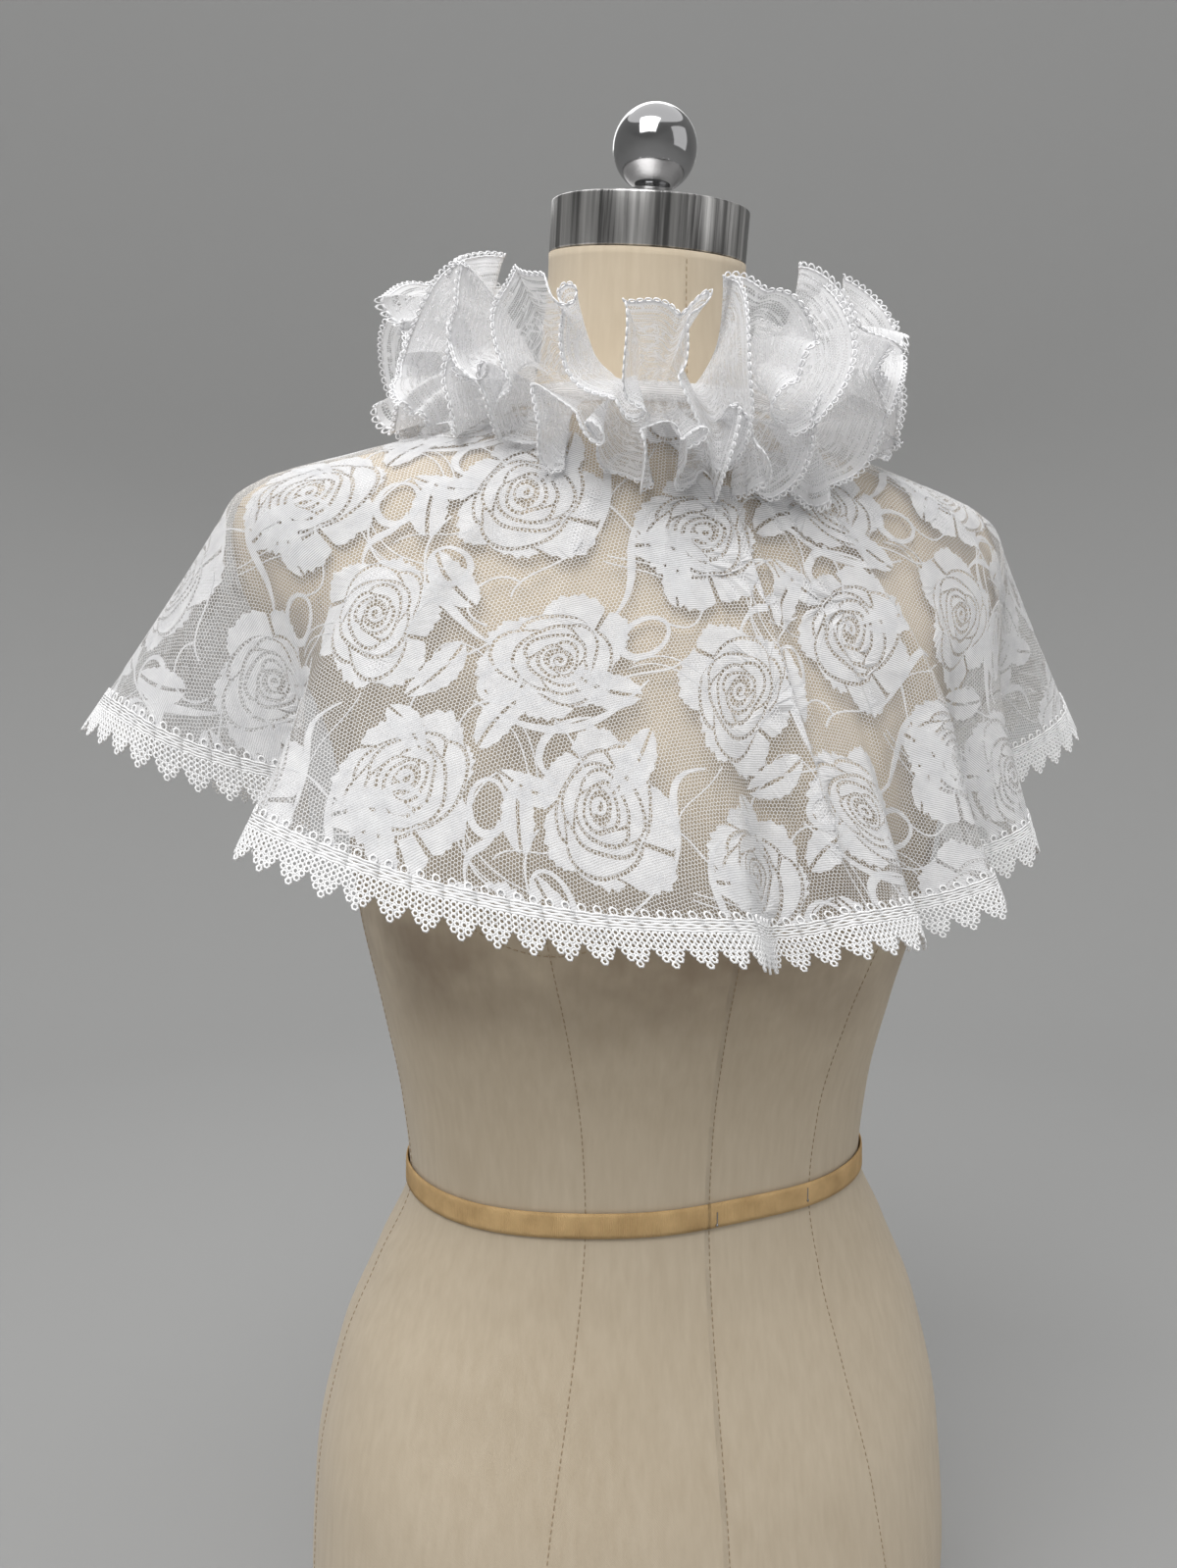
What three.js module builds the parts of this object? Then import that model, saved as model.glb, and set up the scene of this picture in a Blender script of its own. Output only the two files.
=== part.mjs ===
// Lace capelet with a double ruffled collar, worn on a limbless dress form.
// Millimetres, +Z up. The origin is the centre of the form's flat underside, the form faces -Y,
// and every turn is in degrees from the centre front towards the form's left side (+X).

import * as THREE from "three";
import { mergeVertices } from "three/addons/utils/BufferGeometryUtils.js";

// ---- driving dimensions -------------------------------------------------------------------

const WAIST_HEIGHT = 300;
const SEAM_GAP = 0.3;
const FORM_COLUMNS = 36;

const NECK = {
  topHeight: 766,
  tiltStartHeight: 705,
  tiltDegrees: 10,
  forwardLean: 1,
};

const CAP = { radius: 50, height: 25, edgeRound: 1.2, segments: 48 };

const FINIAL = {
  ballRadius: 21,
  stemRadius: 9,
  footRadius: 13,
  footHeight: 3,
  stemHeight: 8,
  segments: 24,
  ballSteps: 9,
};

const TAPE = { width: 12, thickness: 0.8, columns: 2 * FORM_COLUMNS, standOff: 1.5 };

// The capelet is a full circle: an annulus of lace with a guipure edging.
const CAPE = {
  laceLength: 248,
  wall: 1.2,
  columns: 136,
  formClearance: 4.5,
  seamClearance: 3.4,
};

const TRIM = { depth: 21, pointDepth: 9, wall: 1.6, seamGap: 0.6 };

const NECK_SEAM = { meanHeight: 684, frontDrop: 2 };

const NECKBAND = { height: 9, wall: 1.2, standOff: 2.2, columns: 48, lift: 3 };

// Both frills stand out of the neck seam, as steeply as `risers` says; a wave leans sideways
// by `swing` degrees, so that it rolls over its neighbour.
const UPPER_FRILL = {
  width: 66,
  waves: 14,
  amplitude: 18,
  swing: 4.5,
  wall: 1.2,
  lift: 9,
  standOff: 5.2,
  risers: [
    { turn: -170, degrees: 48 },
    { turn: -135, degrees: 52 },
    { turn: -105, degrees: 50 },
    { turn: -75, degrees: 42 },
    { turn: -52, degrees: 24 },
    { turn: -30, degrees: 8 },
    { turn: -8, degrees: 4 },
    { turn: 12, degrees: 12 },
    { turn: 32, degrees: 28 },
    { turn: 55, degrees: 34 },
    { turn: 80, degrees: 35 },
    { turn: 110, degrees: 40 },
    { turn: 150, degrees: 46 },
  ],
};

const LOWER_FRILL = {
  width: 58,
  waves: 16,
  amplitude: 15,
  swing: 3.6,
  wall: 1.2,
  lift: 4.5,
  standOff: 5.2,
  risers: [
    { turn: -165, degrees: -15 },
    { turn: -125, degrees: 2 },
    { turn: -100, degrees: 8 },
    { turn: -75, degrees: 3 },
    { turn: -50, degrees: -20 },
    { turn: -30, degrees: -37 },
    { turn: -8, degrees: -43 },
    { turn: 28, degrees: -38 },
    { turn: 55, degrees: -12 },
    { turn: 80, degrees: 4 },
    { turn: 105, degrees: 6 },
    { turn: 145, degrees: -8 },
  ],
};

// How much the waves of a frill differ in size, and how unevenly they lie (in radians).
const WAVE_VARIETY = { slow: 0.2, quick: 0.14 };
const WAVE_DRIFT = { slow: 0.6, quick: 0.4 };
const FRILL_STEPS_PER_WAVE = 8;
const FRILL_ROWS = [0, 0.3, 0.65, 1];

// Form cross-sections: height, half-width, half-depths and squareness (2 is an ellipse).
const FORM_SECTIONS = [
  { height: 0, side: 168, front: 122, back: 128, square: 2.2 },
  { height: 80, side: 175, front: 127, back: 134, square: 2.2 },
  { height: 150, side: 172, front: 118, back: 130, square: 2.2 },
  { height: 215, side: 159, front: 104, back: 113, square: 2.15 },
  { height: 260, side: 140, front: 95, back: 98, square: 2.1 },
  { height: 300, side: 123, front: 91, back: 91, square: 2.1 },
  { height: 340, side: 127, front: 94, back: 92, square: 2.1 },
  { height: 390, side: 137, front: 106, back: 98, square: 2.15 },
  { height: 440, side: 148, front: 123, back: 104, square: 2.2 },
  { height: 480, side: 153, front: 131, back: 108, square: 2.25 },
  { height: 520, side: 160, front: 126, back: 112, square: 2.3 },
  { height: 550, side: 172, front: 117, back: 114, square: 2.3 },
  { height: 575, side: 190, front: 107, back: 113, square: 2.3 },
  { height: 595, side: 202, front: 97, back: 110, square: 2.25 },
  { height: 620, side: 207, front: 86, back: 102, square: 2.15 },
  { height: 636, side: 203, front: 79, back: 96, square: 2.1 },
  { height: 647, side: 188, front: 73, back: 90, square: 2.05 },
  { height: 655, side: 165, front: 69, back: 85, square: 2.0 },
  { height: 663, side: 135, front: 65, back: 79, square: 2.0 },
  { height: 671, side: 105, front: 61, back: 73, square: 2.0 },
  { height: 679, side: 82, front: 58, back: 67, square: 2.0 },
  { height: 688, side: 66, front: 55, back: 61, square: 2.0 },
  { height: 700, side: 58, front: 53, back: 57, square: 2.0 },
  { height: 725, side: 53, front: 51, back: 53, square: 2.0 },
  { height: 766, side: 50, front: 50, back: 50, square: 2.0 },
];

// Heights between the sections where the form's surface gets one ring more.
const FORM_EXTRA_HEIGHTS = [180, 235, 280, 290, 310, 320, 365, 415, 460, 500, 608, 629, 642];

// Hem outline seen from above: each crest and valley of the hem, with its turn and its
// distance from the form's axis.
const HEM_OUTLINE = [
  { turn: -113, radius: 196 },
  { turn: -105, radius: 258 },
  { turn: -97, radius: 277 },
  { turn: -85, radius: 256 },
  { turn: -76, radius: 184 },
  { turn: -64, radius: 241 },
  { turn: -45, radius: 213 },
  { turn: -25, radius: 186 },
  { turn: -7, radius: 176 },
  { turn: 2, radius: 147 },
  { turn: 10, radius: 175 },
  { turn: 22, radius: 177 },
  { turn: 31, radius: 146 },
  { turn: 42, radius: 190 },
  { turn: 52, radius: 150 },
  { turn: 63, radius: 204 },
  { turn: 74, radius: 172 },
  { turn: 85, radius: 262 },
  { turn: 93, radius: 277 },
  { turn: 101, radius: 256 },
  { turn: 110, radius: 188 },
  { turn: 123, radius: 236 },
  { turn: 135, radius: 160 },
  { turn: 148, radius: 190 },
  { turn: 160, radius: 134 },
  { turn: 174, radius: 170 },
  { turn: 187, radius: 136 },
  { turn: 201, radius: 186 },
  { turn: 213, radius: 152 },
  { turn: 228, radius: 240 },
];

// Raised folds that start at the gathers of the neck seam, by distance along the cloth.
const NECK_FOLDS = [
  { turn: 3, lean: 6, height: 6, width: 3.2, start: 25, end: 240 },
  { turn: 33, lean: 14, height: 5, width: 4, start: 35, end: 225 },
  { turn: 62, lean: 6, height: 5, width: 4, start: 45, end: 200 },
  { turn: -58, lean: -8, height: 4, width: 4, start: 60, end: 215 },
  { turn: 122, lean: -4, height: 5, width: 4, start: 40, end: 215 },
  { turn: 172, lean: 3, height: 5, width: 3.6, start: 30, end: 230 },
  { turn: -130, lean: -5, height: 5, width: 4, start: 40, end: 215 },
];

// How the cloth's line over the form is worked out.
const CLOTH_LINE = {
  restStep: 4,
  clearanceRun: 20,
  lowestRest: WAIST_HEIGHT + 90,
  lowestHem: WAIST_HEIGHT + 60,
  leastDrop: 20,
  halvings: 24,
};

const HEM_SAMPLES = 720;

const CAPE_ROWS = [0, 20, 42, 66, 90, 110, 126, 142, 160, 190, CAPE.laceLength];

// ---- materials ----------------------------------------------------------------------------

const MATERIALS = {
  linen: { color: 0xd9c9ab, roughness: 0.9, metalness: 0 },
  steel: { color: 0x8f9194, roughness: 0.32, metalness: 1 },
  chrome: { color: 0xb9bcc0, roughness: 0.08, metalness: 1 },
  tape: { color: 0xd2b384, roughness: 0.85, metalness: 0 },
  lace: { color: 0xf1f1f2, roughness: 0.75, metalness: 0 },
  guipure: { color: 0xfafafa, roughness: 0.8, metalness: 0 },
  silkLace: { color: 0xf4f5f7, roughness: 0.45, metalness: 0 },
};

// ---- small helpers ------------------------------------------------------------------------

const radians = THREE.MathUtils.degToRad;
const clamp = THREE.MathUtils.clamp;

// Slopes of a smooth curve through the rows that has no overshoot between them.
function steadySlopes(xs, ys, period) {
  const count = xs.length;
  const slopes = [];
  for (let i = 0; i < count; i += 1) {
    const isStart = i === 0;
    const isEnd = i === count - 1;
    if (!period && (isStart || isEnd)) {
      slopes.push(0);
      continue;
    }
    const before = (i + count - 1) % count;
    const after = (i + 1) % count;
    const gapBefore = xs[i] - xs[before] + (isStart ? period : 0);
    const gapAfter = xs[after] - xs[i] + (isEnd ? period : 0);
    const riseBefore = (ys[i] - ys[before]) / gapBefore;
    const riseAfter = (ys[after] - ys[i]) / gapAfter;
    const turns = riseBefore * riseAfter <= 0;
    slopes.push(turns ? 0 : (2 * riseBefore * riseAfter) / (riseBefore + riseAfter));
  }
  return slopes;
}

// A smooth curve through (xs, ys); with a period it closes on itself.
function smoothCurve(xs, ys, period = 0) {
  const slopes = steadySlopes(xs, ys, period);
  const count = xs.length;
  return (position) => {
    let x = position;
    if (period) {
      x = xs[0] + ((((position - xs[0]) % period) + period) % period);
    } else {
      x = clamp(position, xs[0], xs[count - 1]);
    }
    let i = 0;
    while (i < count - 1 && x > xs[i + 1]) i += 1;
    if (!period) i = Math.min(i, count - 2);
    const next = (i + 1) % count;
    const span = next > i ? xs[next] - xs[i] : xs[next] + period - xs[i];
    const t = (x - xs[i]) / span;
    const startWeight = (1 + 2 * t) * (1 - t) ** 2;
    const endWeight = t * t * (3 - 2 * t);
    const startSlope = t * (1 - t) ** 2 * span;
    const endSlope = t * t * (t - 1) * span;
    const valuePart = startWeight * ys[i] + endWeight * ys[next];
    return valuePart + startSlope * slopes[i] + endSlope * slopes[next];
  };
}

function column(rows, name) {
  return rows.map((row) => row[name]);
}

// A point at a distance from the axis, a turn in radians from the front, and a height.
function around(radius, turn, height) {
  return new THREE.Vector3(radius * Math.sin(turn), -radius * Math.cos(turn), height);
}

// ---- dress form ---------------------------------------------------------------------------

const sectionHeights = column(FORM_SECTIONS, "height");
const sectionAt = {
  side: smoothCurve(sectionHeights, column(FORM_SECTIONS, "side")),
  front: smoothCurve(sectionHeights, column(FORM_SECTIONS, "front")),
  back: smoothCurve(sectionHeights, column(FORM_SECTIONS, "back")),
  square: smoothCurve(sectionHeights, column(FORM_SECTIONS, "square")),
};

function formRadius(height, turn) {
  const ahead = Math.cos(turn);
  const depth = ahead > 0 ? sectionAt.front(height) : sectionAt.back(height);
  const power = sectionAt.square(height);
  const depthTerm = (Math.abs(ahead) / depth) ** power;
  const widthTerm = (Math.abs(Math.sin(turn)) / sectionAt.side(height)) ** power;
  return (depthTerm + widthTerm) ** (-1 / power);
}

// The neck leans forward and its top tilts down towards the front.
function leanNeck(point) {
  const rise = point.z - NECK.tiltStartHeight;
  const share = clamp(rise / (NECK.topHeight - NECK.tiltStartHeight), 0, 1);
  const drop = Math.tan(radians(NECK.tiltDegrees)) * share;
  return new THREE.Vector3(
    point.x,
    point.y - NECK.forwardLean * share,
    point.z + point.y * drop,
  );
}

function formSurfacePoint(height, turn) {
  return leanNeck(around(formRadius(height, turn), turn, height));
}

// Triangles of a mesh given as a list of points and a list of index triples.
function solidGeometry(points, triangles) {
  const geometry = new THREE.BufferGeometry();
  const coordinates = points.flatMap((point) => point.toArray());
  geometry.setAttribute("position", new THREE.Float32BufferAttribute(coordinates, 3));
  geometry.setIndex(triangles.flat());
  geometry.computeVertexNormals();
  return geometry;
}

// A solid through rings of points, each ring closed, with a flat fan at either end.
function loftedSolid(rings) {
  const size = rings[0].length;
  const points = rings.flat();
  const triangles = [];
  for (let row = 0; row + 1 < rings.length; row += 1) {
    for (let i = 0; i < size; i += 1) {
      const next = (i + 1) % size;
      const low = row * size;
      const high = low + size;
      triangles.push([low + i, low + next, high + next]);
      triangles.push([low + i, high + next, high + i]);
    }
  }
  const lastRing = rings[rings.length - 1];
  const bottomMiddle = points.length;
  points.push(ringMiddle(rings[0]));
  const topMiddle = points.length;
  points.push(ringMiddle(lastRing));
  const topStart = (rings.length - 1) * size;
  for (let i = 0; i < size; i += 1) {
    const next = (i + 1) % size;
    triangles.push([bottomMiddle, next, i]);
    triangles.push([topMiddle, topStart + i, topStart + next]);
  }
  return solidGeometry(points, triangles);
}

function ringMiddle(ring) {
  const middle = new THREE.Vector3();
  for (const point of ring) middle.add(point);
  return middle.divideScalar(ring.length);
}

function formGeometry() {
  const heights = [...sectionHeights, ...FORM_EXTRA_HEIGHTS].sort((a, b) => a - b);
  const rings = heights.map((height) => {
    const ring = [];
    for (let i = 0; i < FORM_COLUMNS; i += 1) {
      ring.push(formSurfacePoint(height, (2 * Math.PI * i) / FORM_COLUMNS));
    }
    return ring;
  });
  return loftedSolid(rings);
}

// ---- cap and finial -----------------------------------------------------------------------

// A turned solid about the Z axis, from a profile of radius and height.
function lathed(profile, segments) {
  const outline = profile.map(([radius, height]) => new THREE.Vector2(radius, height));
  const geometry = new THREE.LatheGeometry(outline, segments).rotateX(Math.PI / 2);
  geometry.deleteAttribute("normal");
  geometry.deleteAttribute("uv");
  return mergeVertices(geometry, 1e-4);
}

function capGeometry() {
  const { radius, height, edgeRound, segments } = CAP;
  return lathed(
    [
      [0, 0],
      [radius - edgeRound, 0],
      [radius, edgeRound],
      [radius, height - edgeRound],
      [radius - edgeRound, height],
      [0, height],
    ],
    segments,
  );
}

function finialGeometry() {
  const { ballRadius, stemRadius, footRadius, footHeight, stemHeight, ballSteps } = FINIAL;
  const ballStart = Math.acos(stemRadius / ballRadius);
  const middle = stemHeight + ballRadius * Math.sin(ballStart);
  const profile = [
    [0, 0],
    [footRadius, 0],
    [footRadius, footHeight],
    [stemRadius, footHeight + 1],
  ];
  for (let i = 0; i <= ballSteps; i += 1) {
    const angle = -ballStart + ((Math.PI / 2 + ballStart) * i) / ballSteps;
    const radius = i === ballSteps ? 0 : ballRadius * Math.cos(angle);
    profile.push([radius, middle + ballRadius * Math.sin(angle)]);
  }
  return lathed(profile, FINIAL.segments);
}

// ---- walls of cloth -----------------------------------------------------------------------

// Outward normals of a grid of points whose columns close round the axis.
function gridNormals(grid) {
  const rows = grid.length;
  const columns = grid[0].length;
  return grid.map((row, r) =>
    row.map((_, c) => {
      const above = grid[Math.max(r - 1, 0)][c];
      const below = grid[Math.min(r + 1, rows - 1)][c];
      const left = row[(c + columns - 1) % columns];
      const right = row[(c + 1) % columns];
      const across = new THREE.Vector3().subVectors(right, left);
      const along = new THREE.Vector3().subVectors(below, above);
      return along.cross(across).normalize();
    }),
  );
}

// A wall of even thickness through a grid of points; its columns close round the axis.
function wallGeometry(grid, thickness) {
  const rows = grid.length;
  const columns = grid[0].length;
  const normals = gridNormals(grid);
  const sheet = (offset) =>
    grid.flatMap((row, r) =>
      row.map((point, c) => point.clone().addScaledVector(normals[r][c], offset)),
    );
  const points = [...sheet(thickness / 2), ...sheet(-thickness / 2)];
  const innerStart = rows * columns;
  const triangles = [];
  for (let r = 0; r + 1 < rows; r += 1) {
    for (let c = 0; c < columns; c += 1) {
      const next = (c + 1) % columns;
      const a = r * columns + c;
      const b = r * columns + next;
      const d = a + columns;
      const e = b + columns;
      triangles.push([a, d, e], [a, e, b]);
      const [ia, ib, id, ie] = [a, b, d, e].map((index) => index + innerStart);
      triangles.push([ia, ie, id], [ia, ib, ie]);
    }
  }
  const lastRow = (rows - 1) * columns;
  for (let c = 0; c < columns; c += 1) {
    const next = (c + 1) % columns;
    triangles.push([c, next, innerStart + next], [c, innerStart + next, innerStart + c]);
    const [a, b] = [lastRow + c, lastRow + next];
    triangles.push([a, innerStart + b, b], [a, innerStart + a, innerStart + b]);
  }
  return solidGeometry(points, triangles);
}

// ---- cape ---------------------------------------------------------------------------------

function seamHeight(turn) {
  return NECK_SEAM.meanHeight - NECK_SEAM.frontDrop * Math.cos(turn);
}

const hemTurns = column(HEM_OUTLINE, "turn");
const hemRadius = smoothCurve(hemTurns, column(HEM_OUTLINE, "radius"), 360);

// Taut line of cloth from the neck seam over the form to a hem point.
function tautLine(seam, rests, hem) {
  const line = [seam];
  let current = seam;
  let candidates = [...rests, hem];
  while (current !== hem) {
    let best = hem;
    let bestAngle = -Infinity;
    for (const point of candidates) {
      const angle = Math.atan2(point.radius - current.radius, current.height - point.height);
      if (angle >= bestAngle) {
        best = point;
        bestAngle = angle;
      }
    }
    line.push(best);
    current = best;
    const level = best.height;
    candidates = candidates.filter((point) => point.height < level || point === hem);
  }
  return line;
}

function lineLength(line) {
  let length = 0;
  for (let i = 1; i < line.length; i += 1) {
    length += Math.hypot(
      line[i].radius - line[i - 1].radius,
      line[i].height - line[i - 1].height,
    );
  }
  return length;
}

// The cloth's line down one direction, from the seam to the tips of the edging.
function clothLine(turn) {
  const seamLevel = seamHeight(turn);
  const seam = {
    radius: formRadius(seamLevel, turn) + CAPE.seamClearance,
    height: seamLevel,
  };
  const rests = [];
  const { restStep, clearanceRun, lowestRest, lowestHem, leastDrop, halvings } = CLOTH_LINE;
  for (let height = seamLevel - restStep; height > lowestRest; height -= restStep) {
    const eased = clamp((seamLevel - height) / clearanceRun, 0, 1);
    const clearance = CAPE.seamClearance + (CAPE.formClearance - CAPE.seamClearance) * eased;
    rests.push({ radius: formRadius(height, turn) + clearance, height });
  }
  const reach = hemRadius(THREE.MathUtils.radToDeg(turn));
  const wanted = CAPE.laceLength + TRIM.depth;
  let low = lowestHem;
  let high = seamLevel - leastDrop;
  let line = [];
  for (let i = 0; i < halvings; i += 1) {
    const height = (low + high) / 2;
    const above = rests.filter((point) => point.height > height);
    line = tautLine(seam, above, { radius: reach, height });
    if (lineLength(line) > wanted) low = height;
    else high = height;
  }
  return line;
}

// Point of a line at a distance along it.
function pointAlong(line, distance) {
  let left = distance;
  for (let i = 1; i < line.length; i += 1) {
    const radiusStep = line[i].radius - line[i - 1].radius;
    const heightStep = line[i].height - line[i - 1].height;
    const step = Math.hypot(radiusStep, heightStep);
    if (left <= step || i === line.length - 1) {
      const share = left / step;
      return {
        radius: line[i - 1].radius + radiusStep * share,
        height: line[i - 1].height + heightStep * share,
      };
    }
    left -= step;
  }
  return line[0];
}

function neckFoldHeight(turn, distance) {
  let height = 0;
  for (const fold of NECK_FOLDS) {
    const share = clamp((distance - fold.start) / (fold.end - fold.start), 0, 1);
    const middle = fold.turn + fold.lean * share;
    const away = ((THREE.MathUtils.radToDeg(turn) - middle + 540) % 360) - 180;
    const profile = Math.exp(-((away / fold.width) ** 2));
    height += fold.height * Math.sin(Math.PI * share) ** 0.6 * profile;
  }
  return height;
}

function capePoint(line, turn, distance) {
  const place = pointAlong(line, distance);
  return around(place.radius + neckFoldHeight(turn, distance), turn, place.height);
}

// Turns of the cape's columns, evenly spread along the wavy hem.
function capeTurns() {
  const lengths = [0];
  const turns = [];
  let last = null;
  for (let i = 0; i <= HEM_SAMPLES; i += 1) {
    const turn = -Math.PI + (2 * Math.PI * i) / HEM_SAMPLES;
    const point = around(hemRadius(THREE.MathUtils.radToDeg(turn)), turn, 0);
    if (last) lengths.push(lengths[i - 1] + point.distanceTo(last));
    turns.push(turn);
    last = point;
  }
  const total = lengths[HEM_SAMPLES];
  const picked = [];
  let i = 0;
  for (let c = 0; c < CAPE.columns; c += 1) {
    const wanted = (total * c) / CAPE.columns;
    while (lengths[i + 1] < wanted) i += 1;
    const share = (wanted - lengths[i]) / (lengths[i + 1] - lengths[i]);
    picked.push(turns[i] + (turns[i + 1] - turns[i]) * share);
  }
  return picked;
}

const columnTurns = capeTurns();
const columnLines = columnTurns.map(clothLine);

function capeGrid(distances) {
  return distances.map((distance) =>
    columnTurns.map((turn, c) => capePoint(columnLines[c], turn, distance)),
  );
}

function capeGeometry() {
  return wallGeometry(capeGrid(CAPE_ROWS), CAPE.wall);
}

// The edging hangs from the lace's lower edge: a straight band whose lower edge is cut into
// one point for every column of the cape.
function trimGeometry() {
  const top = CAPE.laceLength + TRIM.seamGap;
  const tip = CAPE.laceLength + TRIM.depth;
  const notch = tip - TRIM.pointDepth;
  const [upper, notches, tips] = capeGrid([top, notch, tip]);
  const upperRow = [];
  const lowerRow = [];
  for (let c = 0; c < CAPE.columns; c += 1) {
    const next = (c + 1) % CAPE.columns;
    upperRow.push(upper[c], upper[c].clone().lerp(upper[next], 0.5));
    lowerRow.push(notches[c], tips[c].clone().lerp(tips[next], 0.5));
  }
  return wallGeometry([upperRow, lowerRow], TRIM.wall);
}

// ---- collar -------------------------------------------------------------------------------

function neckbandGeometry() {
  const grid = [NECKBAND.height, 0].map((above) => {
    const ring = [];
    for (let i = 0; i < NECKBAND.columns; i += 1) {
      const turn = (2 * Math.PI * i) / NECKBAND.columns;
      const height = seamHeight(turn) + NECKBAND.lift + above;
      const reach = formRadius(seamHeight(turn) + NECKBAND.lift, turn) + NECKBAND.standOff;
      ring.push(around(reach, turn, height));
    }
    return ring;
  });
  return wallGeometry(grid, NECKBAND.wall);
}

// A wave's own size, so that no two waves of a frill are alike.
function waveSize(turn, waves) {
  const slowChange = WAVE_VARIETY.slow * Math.sin(3 * turn + waves);
  const quickChange = WAVE_VARIETY.quick * Math.sin(5 * turn - waves);
  return 1 + slowChange + quickChange;
}

function wavePhaseAt(turn, waves) {
  const slowDrift = WAVE_DRIFT.slow * Math.sin(2 * turn + 1);
  const quickDrift = WAVE_DRIFT.quick * Math.sin(5 * turn);
  return waves * turn + slowDrift + quickDrift;
}

function frillPoint(frill, riser, turn, share) {
  const seamLevel = seamHeight(turn) + frill.lift;
  const start = formRadius(seamHeight(turn) + NECKBAND.lift, turn) + frill.standOff;
  const wavePhase = wavePhaseAt(turn, frill.waves);
  const wave = frill.amplitude * waveSize(turn, frill.waves) * Math.sin(wavePhase) * share;
  const swing = radians(frill.swing) * Math.sin(2 * wavePhase) * share;
  const reach = frill.width * share;
  const radius = start + reach * Math.cos(riser) - wave * Math.sin(riser);
  const height = seamLevel + reach * Math.sin(riser) + wave * Math.cos(riser);
  return around(radius, turn - swing, height);
}

function frillGeometry(frill) {
  const steps = frill.waves * FRILL_STEPS_PER_WAVE;
  const riserAt = smoothCurve(column(frill.risers, "turn"), column(frill.risers, "degrees"), 360);
  const grid = FRILL_ROWS.map((share) => {
    const ring = [];
    for (let i = 0; i < steps; i += 1) {
      const turn = (2 * Math.PI * i) / steps;
      const riser = radians(riserAt(THREE.MathUtils.radToDeg(turn)));
      ring.push(frillPoint(frill, riser, turn, share));
    }
    return ring;
  });
  return wallGeometry(grid.reverse(), frill.wall);
}

// ---- waist tape ---------------------------------------------------------------------------

function tapeGeometry() {
  const grid = [TAPE.width / 2, -TAPE.width / 2].map((above) => {
    const ring = [];
    for (let i = 0; i < TAPE.columns; i += 1) {
      const turn = (2 * Math.PI * i) / TAPE.columns;
      const reach = formRadius(WAIST_HEIGHT + above, turn) + TAPE.standOff;
      ring.push(around(reach, turn, WAIST_HEIGHT + above));
    }
    return ring;
  });
  return wallGeometry(grid, TAPE.thickness);
}

// ---- assembly -----------------------------------------------------------------------------

function piece(name, geometry, finish) {
  const mesh = new THREE.Mesh(geometry, new THREE.MeshStandardMaterial(MATERIALS[finish]));
  mesh.name = name;
  return mesh;
}

// Hardware on the neck's tilted top, in a group that carries the tilt.
function neckHardware() {
  const group = new THREE.Group();
  group.position.set(0, -NECK.forwardLean, NECK.topHeight);
  group.rotation.x = radians(NECK.tiltDegrees);
  const cap = piece("neck_cap", capGeometry(), "steel");
  cap.position.z = SEAM_GAP;
  const finial = piece("finial", finialGeometry(), "chrome");
  finial.position.z = CAP.height + 2 * SEAM_GAP;
  group.add(cap, finial);
  return group;
}

const model = new THREE.Group();
model.add(
  piece("form_torso", formGeometry(), "linen"),
  neckHardware(),
  piece("waist_tape", tapeGeometry(), "tape"),
  piece("cape_body", capeGeometry(), "lace"),
  piece("hem_trim", trimGeometry(), "guipure"),
  piece("neckband", neckbandGeometry(), "silkLace"),
  piece("upper_frill", frillGeometry(UPPER_FRILL), "silkLace"),
  piece("lower_frill", frillGeometry(LOWER_FRILL), "silkLace"),
);

export default model;
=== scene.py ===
"""Lace capelet with a double ruffled collar, worn on a limbless linen dress form.

Tables and dataclasses hold millimetres; every mesh is made in metres. Turns are in degrees
from the form's centre front towards its left side, and heights are above its underside.
"""
import logging
import math
from collections.abc import Iterable, Sequence
from dataclasses import dataclass, field
from enum import Enum
from typing import NamedTuple

import bpy
import numpy as np
from mathutils import Matrix, Vector


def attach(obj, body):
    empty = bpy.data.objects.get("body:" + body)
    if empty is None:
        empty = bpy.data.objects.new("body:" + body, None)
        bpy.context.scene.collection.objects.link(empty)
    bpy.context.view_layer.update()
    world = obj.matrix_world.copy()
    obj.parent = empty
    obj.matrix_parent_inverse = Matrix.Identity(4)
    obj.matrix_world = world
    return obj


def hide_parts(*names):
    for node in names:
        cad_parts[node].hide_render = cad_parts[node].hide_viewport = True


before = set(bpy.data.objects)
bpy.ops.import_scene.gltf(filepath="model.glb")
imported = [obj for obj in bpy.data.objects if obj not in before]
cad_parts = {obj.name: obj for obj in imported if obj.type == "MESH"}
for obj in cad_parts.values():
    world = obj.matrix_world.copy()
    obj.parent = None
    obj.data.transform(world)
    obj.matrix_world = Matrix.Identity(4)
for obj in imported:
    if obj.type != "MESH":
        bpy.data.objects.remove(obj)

LOG = logging.getLogger("capelet")
MM = 0.001
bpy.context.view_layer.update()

Array = np.ndarray
Color = tuple[float, float, float, float]
Finish = bpy.types.Material
Node = bpy.types.Node
Piece = bpy.types.Object
Socket = bpy.types.NodeSocket


class Slot(Enum):
    """Material slots of the record."""

    LINEN = "linen"
    STEEL = "steel"
    CHROME = "chrome"
    TAPE = "tape"
    ROSE_LACE = "rose_lace"
    GUIPURE = "guipure"
    FRILL_LACE = "frill_lace"


# ---- sizes shared by the pieces -----------------------------------------------------------

class Section(NamedTuple):
    """One level cross-section of the form: half-width, half-depths and squareness."""

    height: float
    side: float
    front: float
    back: float
    square: float


class HemPoint(NamedTuple):
    """A crest or a valley of the hem, seen from above."""

    turn: float
    radius: float


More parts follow.
